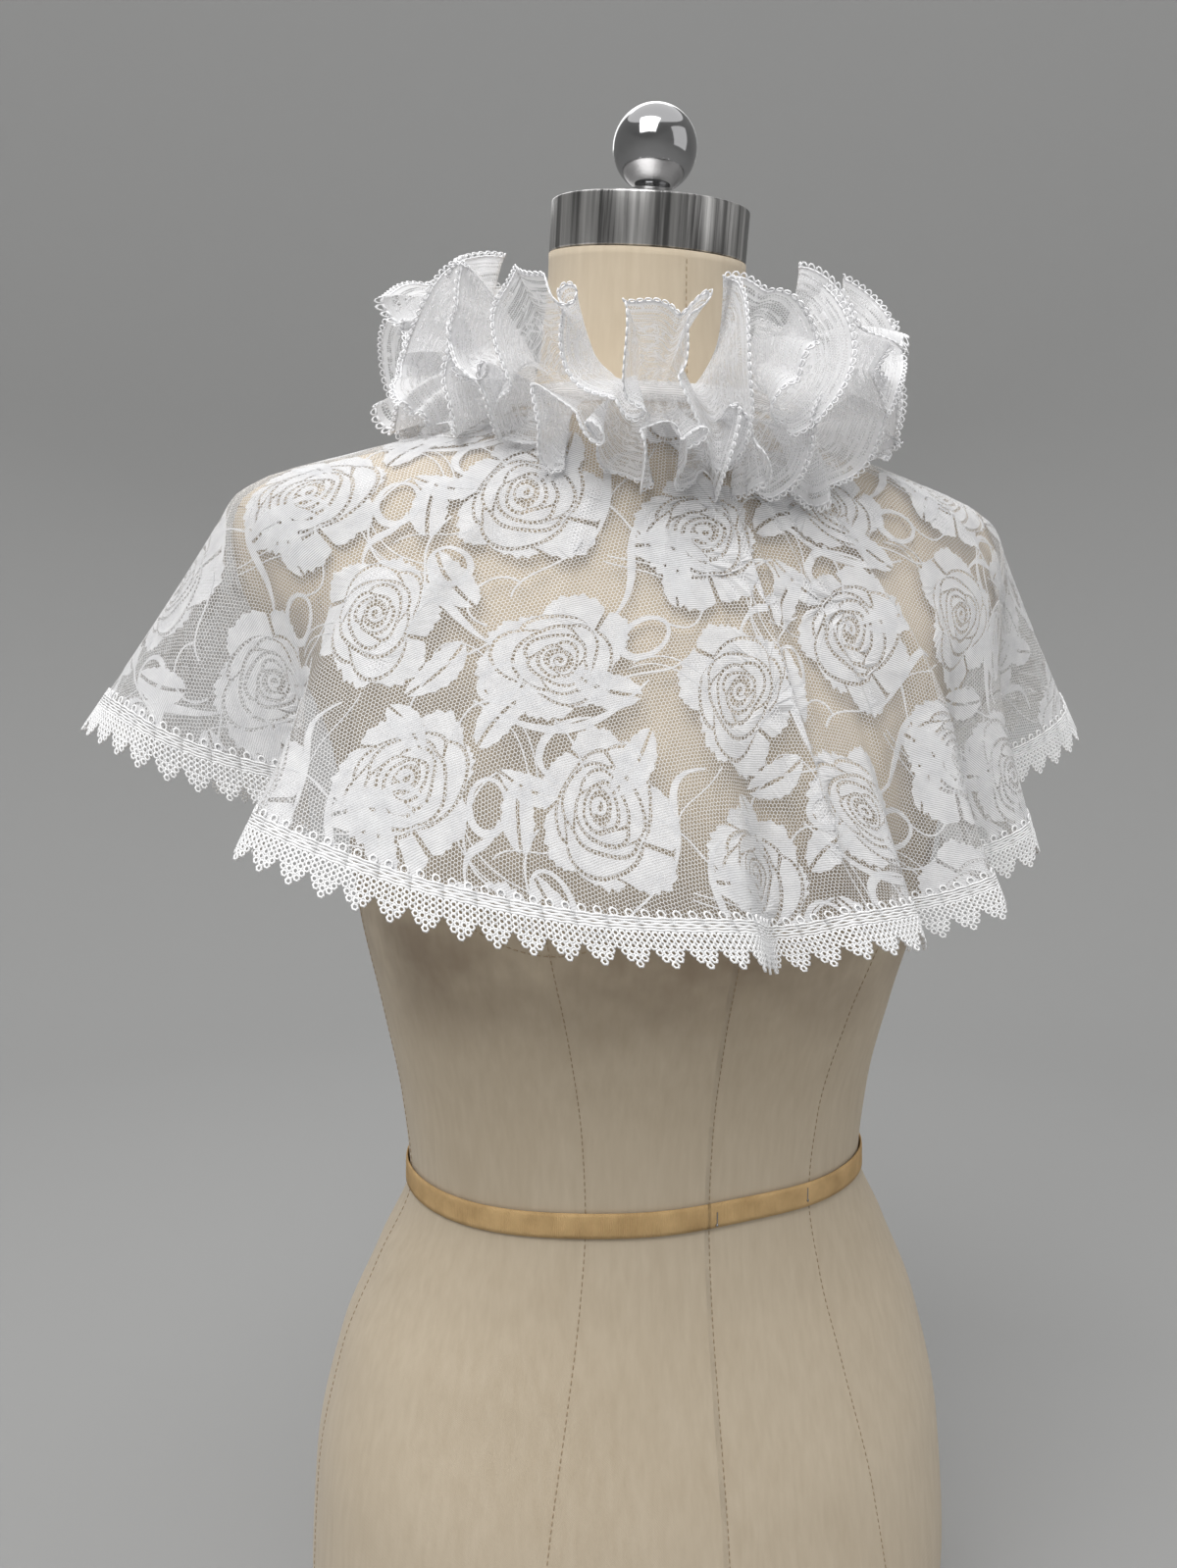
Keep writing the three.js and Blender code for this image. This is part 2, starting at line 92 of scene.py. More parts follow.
class Crease(NamedTuple):
    """A soft ridge (or trough, when its height is negative) that runs down the cloth."""

    turn: float
    lean: float
    height: float
    width: float
    start: float
    end: float


class Riser(NamedTuple):
    """How steeply a frill stands out of the neck seam at one turn, in degrees."""

    turn: float
    degrees: float


FORM_SECTIONS = (
    Section(0, 168, 122, 128, 2.2),
    Section(80, 175, 127, 134, 2.2),
    Section(150, 172, 118, 130, 2.2),
    Section(215, 159, 104, 113, 2.15),
    Section(260, 140, 95, 98, 2.1),
    Section(300, 123, 91, 91, 2.1),
    Section(340, 127, 94, 92, 2.1),
    Section(390, 137, 106, 98, 2.15),
    Section(440, 148, 123, 104, 2.2),
    Section(480, 153, 131, 108, 2.25),
    Section(520, 160, 126, 112, 2.3),
    Section(550, 172, 117, 114, 2.3),
    Section(575, 190, 107, 113, 2.3),
    Section(595, 202, 97, 110, 2.25),
    Section(620, 207, 86, 102, 2.15),
    Section(636, 203, 79, 96, 2.1),
    Section(647, 188, 73, 90, 2.05),
    Section(655, 165, 69, 85, 2.0),
    Section(663, 135, 65, 79, 2.0),
    Section(671, 105, 61, 73, 2.0),
    Section(679, 82, 58, 67, 2.0),
    Section(688, 66, 55, 61, 2.0),
    Section(700, 58, 53, 57, 2.0),
    Section(725, 53, 51, 53, 2.0),
    Section(766, 50, 50, 50, 2.0),
)

HEM_OUTLINE = (
    HemPoint(-113, 196), HemPoint(-105, 258), HemPoint(-97, 277), HemPoint(-85, 256),
    HemPoint(-76, 184), HemPoint(-64, 241), HemPoint(-45, 213), HemPoint(-25, 186),
    HemPoint(-7, 176), HemPoint(2, 147), HemPoint(10, 175), HemPoint(22, 177),
    HemPoint(31, 146), HemPoint(42, 190), HemPoint(52, 150), HemPoint(63, 204),
    HemPoint(74, 172), HemPoint(85, 262), HemPoint(93, 277), HemPoint(101, 256),
    HemPoint(110, 188), HemPoint(123, 236), HemPoint(135, 160), HemPoint(148, 190),
    HemPoint(160, 134), HemPoint(174, 170), HemPoint(187, 136), HemPoint(201, 186),
    HemPoint(213, 152), HemPoint(228, 240),
)

CREASES = (
    Crease(3, 6, 6, 3.2, 25, 240),
    Crease(33, 14, 5, 4, 35, 225),
    Crease(62, 6, 5, 4, 45, 200),
    Crease(-58, -8, 4, 4, 60, 215),
    Crease(122, -4, 5, 4, 40, 215),
    Crease(172, 3, 5, 3.6, 30, 230),
    Crease(-130, -5, 5, 4, 40, 215),
    Crease(1, 5, 3.4, 0.9, 8, 215),
    Crease(4.5, 6, 3.6, 1.0, 10, 240),
    Crease(-2.5, 6, 2.6, 0.9, 6, 175),
    Crease(9, 5, 2.6, 1.0, 12, 190),
    Crease(15, 16, 3.2, 1.1, 12, 205),
    Crease(22, 9, 2.4, 1.2, 20, 175),
    Crease(33, 15, 3.0, 1.2, 25, 220),
    Crease(-14, -3, 1.7, 1.3, 10, 90),
    Crease(-33, -6, 1.8, 1.6, 14, 130),
    Crease(-52, -9, 2.6, 1.4, 40, 220),
    Crease(-75, -4, 1.8, 1.6, 20, 110),
    Crease(48, 5, 2.4, 1.3, 25, 160),
    Crease(64, 6, 2.8, 1.3, 30, 190),
    Crease(78, 3, 2.0, 1.5, 20, 120),
    Crease(100, -2, 1.8, 1.6, 30, 150),
    Crease(122, -4, 2.6, 1.3, 40, 200),
    Crease(146, 2, 2.2, 1.4, 20, 170),
    Crease(172, 3, 3.0, 1.1, 20, 220),
    Crease(177, 4, 2.6, 1.0, 16, 190),
    Crease(198, -3, 2.4, 1.3, 15, 180),
    Crease(-130, -5, 2.8, 1.3, 30, 210),
    Crease(-102, 3, 1.8, 1.6, 25, 140),
)

UPPER_RISERS = (
    Riser(-170, 48), Riser(-135, 52), Riser(-105, 50), Riser(-75, 42), Riser(-52, 24),
    Riser(-30, 8), Riser(-8, 4), Riser(12, 12), Riser(32, 26), Riser(55, 29), Riser(80, 28),
    Riser(110, 37), Riser(150, 46),
)

LOWER_RISERS = (
    Riser(-165, -15), Riser(-125, 2), Riser(-100, 8), Riser(-75, 3), Riser(-50, -20),
    Riser(-30, -37), Riser(-8, -43), Riser(28, -38), Riser(55, -12), Riser(80, 4), Riser(105, 6),
    Riser(145, -8),
)


# ---- curves and grids ---------------------------------------------------------------------

class SteadyCurve:
    """A smooth curve through rows that doesn't overshoot; with a period it closes."""

    def __init__(self, xs: Sequence[float], ys: Sequence[float], period: float = 0.0) -> None:
        """Keeps the rows and works out a slope at each.

        Args:
            xs: Rising places of the rows.
            ys: Values of the rows.
            period: Length after which the curve repeats, or 0.
        """
        self.period = period
        self.start = xs[0]
        places = np.asarray(xs, float)
        values = np.asarray(ys, float)
        if period:
            places = np.append(places, places[0] + period)
            values = np.append(values, values[0])
        self.places = places
        self.values = values
        rises = np.diff(values) / np.diff(places)
        before = np.roll(rises, 1) if period else np.append(0.0, rises[:-1])
        product = before * rises
        total = np.where(product > 0, before + rises, 1.0)
        slopes = np.where(product > 0, 2 * product / total, 0.0)
        self.slopes = np.append(slopes, slopes[0] if period else 0.0)

    def __call__(self, at: Array | float) -> Array:
        """Values of the curve.

        Args:
            at: Places along the curve.

        Returns:
            One value for each place.
        """
        x = np.asarray(at, float)
        if self.period:
            x = self.start + np.mod(x - self.start, self.period)
        else:
            x = np.clip(x, self.places[0], self.places[-1])
        i = np.clip(np.searchsorted(self.places, x) - 1, 0, len(self.places) - 2)
        span = self.places[i + 1] - self.places[i]
        t = (x - self.places[i]) / span
        start = (1 + 2 * t) * (1 - t) ** 2 * self.values[i]
        end = t * t * (3 - 2 * t) * self.values[i + 1]
        lead = t * (1 - t) ** 2 * span * self.slopes[i]
        trail = t * t * (t - 1) * span * self.slopes[i + 1]
        return start + end + lead + trail


def around(radius: Array, turn: Array, height: Array) -> Array:
    """Points from their distance to the axis, turn in radians and height.

    Args:
        radius: Distances from the axis.
        turn: Turns from the centre front, in radians.
        height: Heights.

    Returns:
        Points, with x, y and z along the last axis.
    """
    shape = np.broadcast(radius, turn, height).shape
    x = np.broadcast_to(radius * np.sin(turn), shape)
    y = np.broadcast_to(-radius * np.cos(turn), shape)
    return np.stack([x, y, np.broadcast_to(height, shape)], axis=-1)


def ring_normals(grid: Array) -> Array:
    """Outward normals of a grid whose rows run down and whose columns close round the axis.

    Args:
        grid: Points, rows by columns by three.

    Returns:
        Unit vectors of the same shape.
    """
    across = np.roll(grid, -1, axis=1) - np.roll(grid, 1, axis=1)
    along = np.gradient(grid, axis=0)
    normals = np.cross(along, across)
    return normals / np.maximum(np.linalg.norm(normals, axis=2, keepdims=True), 1e-12)


def ring_shares(grid: Array) -> Array:
    """Share of each row's length that lies before each column, from 0 to 1.

    Args:
        grid: Points, rows by columns by three, with columns that close.

    Returns:
        Rows by columns plus one, the last column being 1.
    """
    steps = np.linalg.norm(np.roll(grid, -1, axis=1) - grid, axis=2)
    sums = np.concatenate([np.zeros((len(grid), 1)), np.cumsum(steps, axis=1)], axis=1)
    return sums / sums[:, -1:]


def grid_faces(rows: int, columns: int, closed: bool) -> list[tuple[int, int, int, int]]:
    """Quads of a grid whose rows run down, facing outwards.

    Args:
        rows: Number of rows.
        columns: Number of columns.
        closed: Whether the last column joins the first.

    Returns:
        Corner indices of the quads.
    """
    faces = []
    last = columns if closed else columns - 1
    for r in range(rows - 1):
        for c in range(last):
            after = (c + 1) % columns
            high, low = r * columns, (r + 1) * columns
            faces.append((high + c, low + c, low + after, high + after))
    return faces


def capped_faces(rows: int, columns: int) -> list[tuple[int, ...]]:
    """Faces of a grid that closes round, with a fan over each end.

    Args:
        rows: Number of rows.
        columns: Number of columns.

    Returns:
        Corner indices. The middle of the top and that of the bottom come after the grid.
    """
    faces = grid_faces(rows, columns, True)
    start, top = (rows - 1) * columns, rows * columns
    for c in range(columns):
        after = (c + 1) % columns
        faces.append((c, after, top))
        faces.append((start + after, start + c, top + 1))
    return faces


def round_turns(count: int) -> Array:
    """Turns spread evenly round the axis, in radians."""
    return np.linspace(0, math.tau, count, endpoint=False)


def loop_length(points: Array) -> float:
    """Length of a line of points that closes."""
    return float(np.linalg.norm(np.roll(points, -1, axis=0) - points, axis=1).sum())


# ---- meshes and objects -------------------------------------------------------------------

def link_new(name: str, data: bpy.types.ID) -> Piece:
    """Puts an object into the scene.

    Args:
        name: Its name.
        data: Its mesh, camera or light.

    Returns:
        The object.
    """
    made = bpy.data.objects.new(name, data)
    bpy.context.scene.collection.objects.link(made)
    return made


def make_object(name: str, points: Array, faces: Sequence[Sequence[int]],
                edges: Sequence[tuple[int, int]] = ()) -> Piece:
    """A mesh object at the origin.

    Args:
        name: The object's name.
        points: Its vertices in millimetres.
        faces: Corner indices of its faces.
        edges: End indices of its loose edges.

    Returns:
        The linked object, shaded smooth.
    """
    mesh = bpy.data.meshes.new(name)
    mesh.from_pydata((np.asarray(points).reshape(-1, 3) * MM).tolist(), list(edges), faces)
    mesh.polygons.foreach_set("use_smooth", np.ones(len(mesh.polygons), bool))
    mesh.update()
    return link_new(name, mesh)


def facet(obj: Piece) -> Piece:
    """Shades a piece flat."""
    obj.data.polygons.foreach_set("use_smooth", np.zeros(len(obj.data.polygons), bool))
    return obj


def set_vectors(obj: Piece, name: str, values: Array) -> None:
    """Stores a vector on each vertex."""
    layer = obj.data.attributes.new(name, "FLOAT_VECTOR", "POINT")
    layer.data.foreach_set("vector", np.asarray(values, np.float32).ravel())


def set_numbers(obj: Piece, name: str, values: Array) -> None:
    """Stores a number on each vertex."""
    layer = obj.data.attributes.new(name, "FLOAT", "POINT")
    layer.data.foreach_set("value", np.asarray(values, np.float32).ravel())


def set_flat(obj: Piece, across: Array, down: Array) -> None:
    """Stores where each vertex lies in the flat cut."""
    across, down = np.broadcast_arrays(across, down)
    set_vectors(obj, "flat", np.stack([across, down, np.zeros(across.shape)], axis=-1) * MM)


def dress(obj: Piece, material: Finish) -> None:
    """Gives a piece one material."""
    obj.data.materials.clear()
    obj.data.materials.append(material)


def thicken(obj: Piece, thickness: float) -> None:
    """Gives a sheet a wall, half of it to each side.

    Args:
        obj: The sheet.
        thickness: The wall's thickness.
    """
    solid = obj.modifiers.new("wall", "SOLIDIFY")
    solid.thickness = thickness * MM
    solid.offset = 0


def ride(obj: Piece, nodes: Iterable[str] = ()) -> None:
    """Fixes a piece to the only body and hides the solids it stands for.

    Args:
        obj: The piece.
        nodes: Solids that it replaces.
    """
    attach(obj, "root")
    for node in nodes:
        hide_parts(node)
    LOG.info("%s: %d faces", obj.name, len(obj.data.polygons))


def drop(*helpers: Piece) -> None:
    """Removes helper objects."""
    for helper in helpers:
        bpy.data.objects.remove(helper, do_unlink=True)


def join(name: str, parts: Sequence[Piece]) -> Piece:
    """Joins mesh objects into one.

    Args:
        name: The joined object's name.
        parts: The objects, which are used up.

    Returns:
        The joined object.
    """
    with bpy.context.temp_override(
        active_object=parts[0], object=parts[0], selected_editable_objects=list(parts)
    ):
        bpy.ops.object.join()
    parts[0].name = name
    parts[0].data.name = name
    return parts[0]


# ---- node trees ---------------------------------------------------------------------------

class Graph:
    """Short calls for building a node tree."""

    def __init__(self, tree: bpy.types.NodeTree) -> None:
        """Starts on a tree."""
        self.tree = tree

    def node(self, kind: str, **settings: object) -> Node:
        """Adds a node.

        Args:
            kind: The node's type.
            settings: Properties to set on it.

        Returns:
            The node.
        """
        made = self.tree.nodes.new(kind)
        for name, value in settings.items():
            setattr(made, name, value)
        return made

    def feed(self, target: Socket, value: object) -> None:
        """Links a socket to a source, or sets it.

        Args:
            target: The socket.
            value: An output socket or a plain value.
        """
        if isinstance(value, Socket):
            self.tree.links.new(value, target)
        else:
            target.default_value = value

    def wired(self, kind: str, feeds: dict[str | int, object], **settings: object) -> Node:
        """Adds a node and feeds its sockets.

        Args:
            kind: The node's type.
            feeds: Output sockets or plain values, by the fed socket's name or number.
            settings: Properties to set on the node first.

        Returns:
            The node.
        """
        made = self.node(kind, **settings)
        for key, value in feeds.items():
            self.feed(made.inputs[key], value)
        return made

    def math(self, kind: str, a: object, b: object = 0.0, c: object = 0.0) -> Socket:
        """The result of a sum on numbers."""
        feeds = dict(enumerate((a, b, c)))
        return self.wired("ShaderNodeMath", feeds, operation=kind).outputs[0]

    def vector(self, kind: str, a: object, b: object = (0, 0, 0), c: object = (0, 0, 0)) -> Socket:
        """A sum on vectors.

        Args:
            kind: The operation.
            a: First vector.
            b: Second vector.
            c: Third vector.

        Returns:
            The resulting vector, or the number for an operation that gives one.
        """
        made = self.wired("ShaderNodeVectorMath", dict(enumerate((a, b, c))), operation=kind)
        gives_number = kind in {"DOT_PRODUCT", "LENGTH"}
        return made.outputs["Value" if gives_number else "Vector"]

    def part(self, vector: Socket, name: str) -> Socket:
        """The X, Y or Z of a vector."""
        return self.wired("ShaderNodeSeparateXYZ", {0: vector}).outputs[name]


class ShaderGraph(Graph):
    """A material's node tree."""

    def __init__(self, name: str) -> None:
        """Makes an empty material.

        Args:
            name: The material's name.
        """
        self.material = bpy.data.materials.new(name)
        self.material.use_nodes = True
        super().__init__(self.material.node_tree)
        self.tree.nodes.clear()

    def attribute(self, name: str, output: str = "Vector") -> Socket:
        """A stored attribute."""
        return self.node("ShaderNodeAttribute", attribute_name=name).outputs[output]

    def object_place(self) -> Socket:
        """The place on the object, in metres."""
        return self.node("ShaderNodeTexCoord").outputs["Object"]

    def spread(self, value: Socket) -> Socket:
        """A number as the first part of a vector."""
        return self.wired("ShaderNodeCombineXYZ", {"X": value}).outputs[0]

    def summed(self, a: Socket, times: object, b: Socket, share: object = 1.0) -> Socket:
        """Two numbers added, each times its own factor."""
        return self.math("ADD", self.math("MULTIPLY", a, times), self.math("MULTIPLY", b, share))

    def wave(self, value: Socket, per_metre: float) -> Socket:
        """A sine wave along a length in metres."""
        return self.math("SINE", self.math("MULTIPLY", value, per_metre * math.tau))

    def noise(self, place: Socket, scale: float, detail: float = 3, rough: float = 0.55) -> Socket:
        """Soft noise from 0 to 1, with its bumps for each metre and its octaves."""
        feeds = {"Vector": place, "Scale": scale, "Detail": detail, "Roughness": rough}
        return self.wired("ShaderNodeTexNoise", feeds).outputs["Fac"]

    def remap(self, value: Socket, low: float, high: float, first: float, last: float) -> Socket:
        """Moves a number from one range to another, held at the ends."""
        feeds = dict(enumerate((value, low, high, first, last)))
        return self.wired("ShaderNodeMapRange", feeds, clamp=True).outputs[0]

    def blend(self, share: object, a: object, b: object) -> Socket:
        """A colour between two others."""
        feeds = {"Factor": share, "A": a, "B": b}
        return self.wired("ShaderNodeMix", feeds, data_type="RGBA").outputs["Result"]

    def bump(self, height: Socket, distance: float, strength: float = 1.0) -> Socket:
        """A normal bumped by a height; the distance is what a height of 1 is, in metres."""
        feeds = {"Height": height, "Distance": distance, "Strength": strength}
        return self.wired("ShaderNodeBump", feeds).outputs["Normal"]

    def surface(self, color: object, roughness: object, **sockets: object) -> Node:
        """The main shader.

        Args:
            color: Base colour.
            roughness: Roughness.
            sockets: Other sockets by name, with _ for a space.

        Returns:
            The node.
        """
        feeds = {name.replace("_", " "): value for name, value in sockets.items()}
        feeds.update({"Base Color": color, "Roughness": roughness})
        return self.wired("ShaderNodeBsdfPrincipled", feeds)

    def mixed(self, share: object, first: Node, second: Node) -> Node:
        """A shader between two others, from 0 for the first to 1 for the second."""
        feeds = {0: share, 1: first.outputs[0], 2: second.outputs[0]}
        return self.wired("ShaderNodeMixShader", feeds)

    def glowing(self, body: Node, color: Color, share: float) -> Node:
        """A shader that lets a share of the light through, as thin cloth does."""
        return self.mixed(share, body, self.wired("ShaderNodeBsdfTranslucent", {"Color": color}))

    def opened(self, cover: Socket, cloth: Node) -> Node:
        """A shader that is clear where the cover is 0."""
        return self.mixed(cover, self.node("ShaderNodeBsdfTransparent"), cloth)

    def finish(self, shader: Node) -> Finish:
        """Ends the tree and gives the material."""
        self.wired("ShaderNodeOutputMaterial", {"Surface": shader.outputs[0]})
        return self.material


class GeometryGraph(Graph):
    """A Geometry Nodes tree with named inputs."""

    def __init__(self, name: str, inputs: dict[str, str]) -> None:
        """Makes the tree with its group input and output.

        Args:
            name: The tree's name.
            inputs: Kinds of the inputs after the geometry, by name.
        """
        super().__init__(bpy.data.node_groups.new(name, "GeometryNodeTree"))
        face = self.tree.interface
        face.new_socket("Geometry", in_out="INPUT", socket_type="NodeSocketGeometry")
        for label, kind in inputs.items():
            face.new_socket(label, in_out="INPUT", socket_type=f"NodeSocket{kind}")
        face.new_socket("Geometry", in_out="OUTPUT", socket_type="NodeSocketGeometry")
        self.source = self.node("NodeGroupInput").outputs
        self.output = self.node("NodeGroupOutput")

    def named(self, name: str, kind: str = "FLOAT_VECTOR") -> Socket:
        """A stored attribute."""
        made = self.wired("GeometryNodeInputNamedAttribute", {"Name": name}, data_type=kind)
        return made.outputs["Attribute"]

    def shape_of(self, chosen: Socket) -> Socket:
        """The geometry of an object input."""
        made = self.wired("GeometryNodeObjectInfo", {"Object": chosen}, transform_space="ORIGINAL")
        return made.outputs["Geometry"]

    def end(self, shape: Socket) -> None:
        """Sets the finish on the geometry and sends it out."""
        feeds = {"Geometry": shape, "Material": self.source["Finish"]}
        self.feed(self.output.inputs[0], self.wired("GeometryNodeSetMaterial", feeds).outputs[0])

    def apply(self, obj: Piece, values: dict[str, object]) -> Piece:
        """Runs the tree on an object and keeps the result as a plain mesh.

        Args:
            obj: The object whose mesh goes in; it gets the result.
            values: Input values by name.

        Returns:
            The same object, with no modifier left.
        """
        keys = {item.name: item.identifier for item in self.tree.interface.items_tree
                if item.item_type == "SOCKET" and item.in_out == "INPUT"}
        modifier = obj.modifiers.new("nodes", "NODES")
        modifier.node_group = self.tree
        for name, value in values.items():
            modifier[keys[name]] = value
        obj.update_tag()
        bpy.context.view_layer.update()
        graph = bpy.context.evaluated_depsgraph_get()
        baked = bpy.data.meshes.new_from_object(
            obj.evaluated_get(graph), preserve_all_data_layers=True, depsgraph=graph)
        obj.modifiers.remove(modifier)
        old = obj.data
        obj.data = baked
        baked.name = obj.name
        bpy.data.meshes.remove(old)
        return obj


def appliance_tree() -> GeometryGraph:
    """Tree that lays flat motifs at points and carries them onto a draped cloth.

    Returns:
        The tree. Its points carry spin and size; its motifs are drawn in the flat cut.
    """
    graph = GeometryGraph("lay_on_cloth", {
        "Motif": "Object", "Cloth": "Object", "Inner": "Float", "Outer": "Float",
        "Finish": "Material",
    })
    source = graph.source
    size = graph.named("size", "FLOAT")
    spin = graph.wired("ShaderNodeCombineXYZ", {"Z": graph.named("spin", "FLOAT")})
    scale = graph.wired("ShaderNodeCombineXYZ", {"X": size, "Y": size, "Z": 1.0})
    copies = graph.wired("GeometryNodeInstanceOnPoints", {
        "Points": source["Geometry"], "Instance": graph.shape_of(source["Motif"]),
        "Rotation": spin.outputs[0], "Scale": scale.outputs[0],
    })
    real = graph.wired("GeometryNodeRealizeInstances", {0: copies.outputs[0]})

    position = graph.node("GeometryNodeInputPosition").outputs[0]
    level = graph.vector("MULTIPLY", position, (1, 1, 0))
    reach = graph.vector("LENGTH", level)
    outside = graph.math("GREATER_THAN", reach, source["Outer"])
    inside = graph.math("LESS_THAN", reach, source["Inner"])
    trimmed = graph.wired("GeometryNodeDeleteGeometry", {
        "Geometry": real.outputs[0], "Selection": graph.math("MAXIMUM", outside, inside),
    }, domain="FACE")
    kept = graph.wired("GeometryNodeStoreNamedAttribute", {
        "Geometry": trimmed.outputs[0], "Name": "flat", "Value": level,
    }, data_type="FLOAT_VECTOR", domain="POINT")

    cloth = graph.shape_of(source["Cloth"])
    spot, outward = (
        graph.wired("GeometryNodeSampleUVSurface", {
            "Mesh": cloth, "Value": values, "Source UV Map": graph.named("flat"),
            "Sample UV": level,
        }, data_type="FLOAT_VECTOR").outputs
        for values in (position, graph.named("outward"))
    )
    sound = graph.wired("GeometryNodeDeleteGeometry", {
        "Geometry": kept.outputs[0], "Selection": graph.math("SUBTRACT", 1.0, spot["Is Valid"]),
    }, domain="POINT")
    lift = graph.wired("ShaderNodeVectorMath", {
        0: outward["Value"], "Scale": graph.part(position, "Z"),
    }, operation="SCALE")
    carried = graph.wired("GeometryNodeSetPosition", {
        "Geometry": sound.outputs[0],
        "Position": graph.vector("ADD", spot["Value"], lift.outputs[0]),
    })
    graph.end(carried.outputs[0])
    return graph


def stitch_tree() -> GeometryGraph:
    """Tree that sets short stitches along the edges of a mesh of guide lines.

    Returns:
        The tree.
    """
    graph = GeometryGraph("stitches", {"Stitch": "Object", "Pitch": "Float", "Finish": "Material"})
    source = graph.source
    curve = graph.wired("GeometryNodeMeshToCurve", {0: source["Geometry"]})
    even = graph.wired("GeometryNodeResampleCurve", {
        "Curve": curve.outputs[0], "Length": source["Pitch"],
    }, mode="LENGTH")
    tangent = graph.node("GeometryNodeInputTangent").outputs[0]
    heading = graph.wired("FunctionNodeAlignRotationToVector", {"Vector": tangent}, axis="X")
    copies = graph.wired("GeometryNodeInstanceOnPoints", {
        "Points": even.outputs[0], "Instance": graph.shape_of(source["Stitch"]),
        "Rotation": heading.outputs[0],
    })
    real = graph.wired("GeometryNodeRealizeInstances", {0: copies.outputs[0]})
    graph.end(real.outputs[0])
    return graph


# ---- finishes -----------------------------------------------------------------------------

@dataclass(frozen=True)
class Linen:
    """Warm beige linen of the form: fine plain weave, slubs and a dull stain band, which is also
    painted shadow under the cape's hem.
    """

    light: Color = (0.61, 0.515, 0.385, 1)
    dark: Color = (0.54, 0.445, 0.32, 1)
    # Brown of a real stain that also serves as painted shadow cast by the cape.
    stain_shadow_color: Color = (0.24, 0.17, 0.11, 1)
    threads_per_metre: float = 1500.0
    stain_shadow_low: float = 0.375
    stain_shadow_high: float = 0.47
    stain_shadow_strength: float = 0.7
    relief: float = 0.00018
    roughness: float = 0.88

    def stain_and_shadow(self, graph: ShaderGraph, place: Socket) -> Socket:
        """Strength of the stain and painted shadow, which is patchy and lies in a level band under
        the cape's hem.

        Args:
            graph: The tree.
            place: Place on the form, in metres.

        Returns:
            The strength.
        """
        height = graph.part(place, "Z")
        rise = graph.remap(height, self.stain_shadow_low, self.stain_shadow_low + 0.05, 0, 1)
        fall = graph.remap(height, self.stain_shadow_high - 0.03, self.stain_shadow_high + 0.03, 1, 0)
        patch = graph.remap(graph.noise(place, 14, 4, 0.6), 0.36, 0.64, 0, 1)
        band = graph.math("MULTIPLY", rise, fall)
        return graph.math("MULTIPLY", graph.math("MULTIPLY", band, patch), self.stain_shadow_strength)

    def build(self) -> Finish:
        """Makes the linen.

        Returns:
            The material.
        """
        graph = ShaderGraph("linen_cover")
        place = graph.object_place()
        slub = graph.noise(graph.vector("MULTIPLY", place, (1, 1, 0.12)), 260, 4)
        tone = graph.summed(slub, 0.55, graph.noise(place, 9, 3), 0.45)
        base = graph.blend(graph.remap(tone, 0.35, 0.65, 0, 1), self.light, self.dark)
        # Painted shadow: the stain band darkens the linen where the cape's shadow falls, as well as
        # where it is stained.
        color = graph.blend(self.stain_and_shadow(graph, place), base, self.stain_shadow_color)
        flat = graph.attribute("flat")
        across, up = (graph.wave(graph.part(flat, way), self.threads_per_metre) for way in "XY")
        weave = graph.summed(graph.math("MULTIPLY", across, up), 0.35, slub)
        return graph.finish(graph.surface(
            color, self.roughness, Normal=graph.bump(weave, self.relief, 0.7),
            Sheen_Weight=0.15, Sheen_Roughness=0.6,
        ))


@dataclass(frozen=True)
class Metal:
    """Turned steel, brushed round its edge with painted reflection streaks on its wall, or polished
    chrome.
    """

    name: str
    color: Color
    roughness: float
    brushed: float
    face_reach: float = 0.047
    reflection_streak_scale: float = 95.0
    fine_grain: float = 520.0
    turning_marks: float = 900.0

    def build(self) -> Finish:
        """Makes the metal.

        Returns:
            The material.
        """
        graph = ShaderGraph(self.name)
        smudge = graph.noise(graph.object_place(), 40, 4, 0.6)
        uneven = graph.math("MULTIPLY", smudge, 0.09 + 0.08 * self.brushed)
        rough = graph.math("ADD", uneven, self.roughness)
        if not self.brushed:
            return graph.finish(graph.surface(self.color, rough, Metallic=1.0))
        own = graph.attribute("own")
        upright = graph.vector("MULTIPLY", own, (1, 1, 0.03))
        # Upright bands on the brushed wall: the broad bands are painted reflection streaks, the
        # fine ones brushing grain.
        reflection_streaks = graph.remap(graph.noise(upright, self.reflection_streak_scale, 2), 0.46, 0.6, 0, 1)
        fine = graph.remap(graph.noise(upright, self.fine_grain, 3), 0.4, 0.62, 0, 1)
        wall = graph.summed(reflection_streaks, 0.7, fine, 0.3)
        reach = graph.vector("LENGTH", graph.vector("MULTIPLY", own, (1, 1, 0)))
        rings = graph.vector("MULTIPLY", graph.spread(reach), (self.turning_marks, 1, 1))
        face = graph.remap(graph.noise(rings, 1.0, 2), 0.3, 0.7, 0.75, 0.95)
        at_wall = graph.remap(reach, self.face_reach - 0.001, self.face_reach + 0.001, 0, 1)
        tone = graph.summed(wall, at_wall, face, graph.math("SUBTRACT", 1.0, at_wall))
        # Dark end of the painted reflection streaks on the wall, and of the turning marks on the
        # face.
        dark = tuple(0.2 * part for part in self.color[:3]) + (1,)
        color = graph.blend(tone, dark, self.color)
        bumped = graph.bump(fine, 0.00008, self.brushed)
        return graph.finish(graph.surface(color, rough, Metallic=1.0, Normal=bumped))


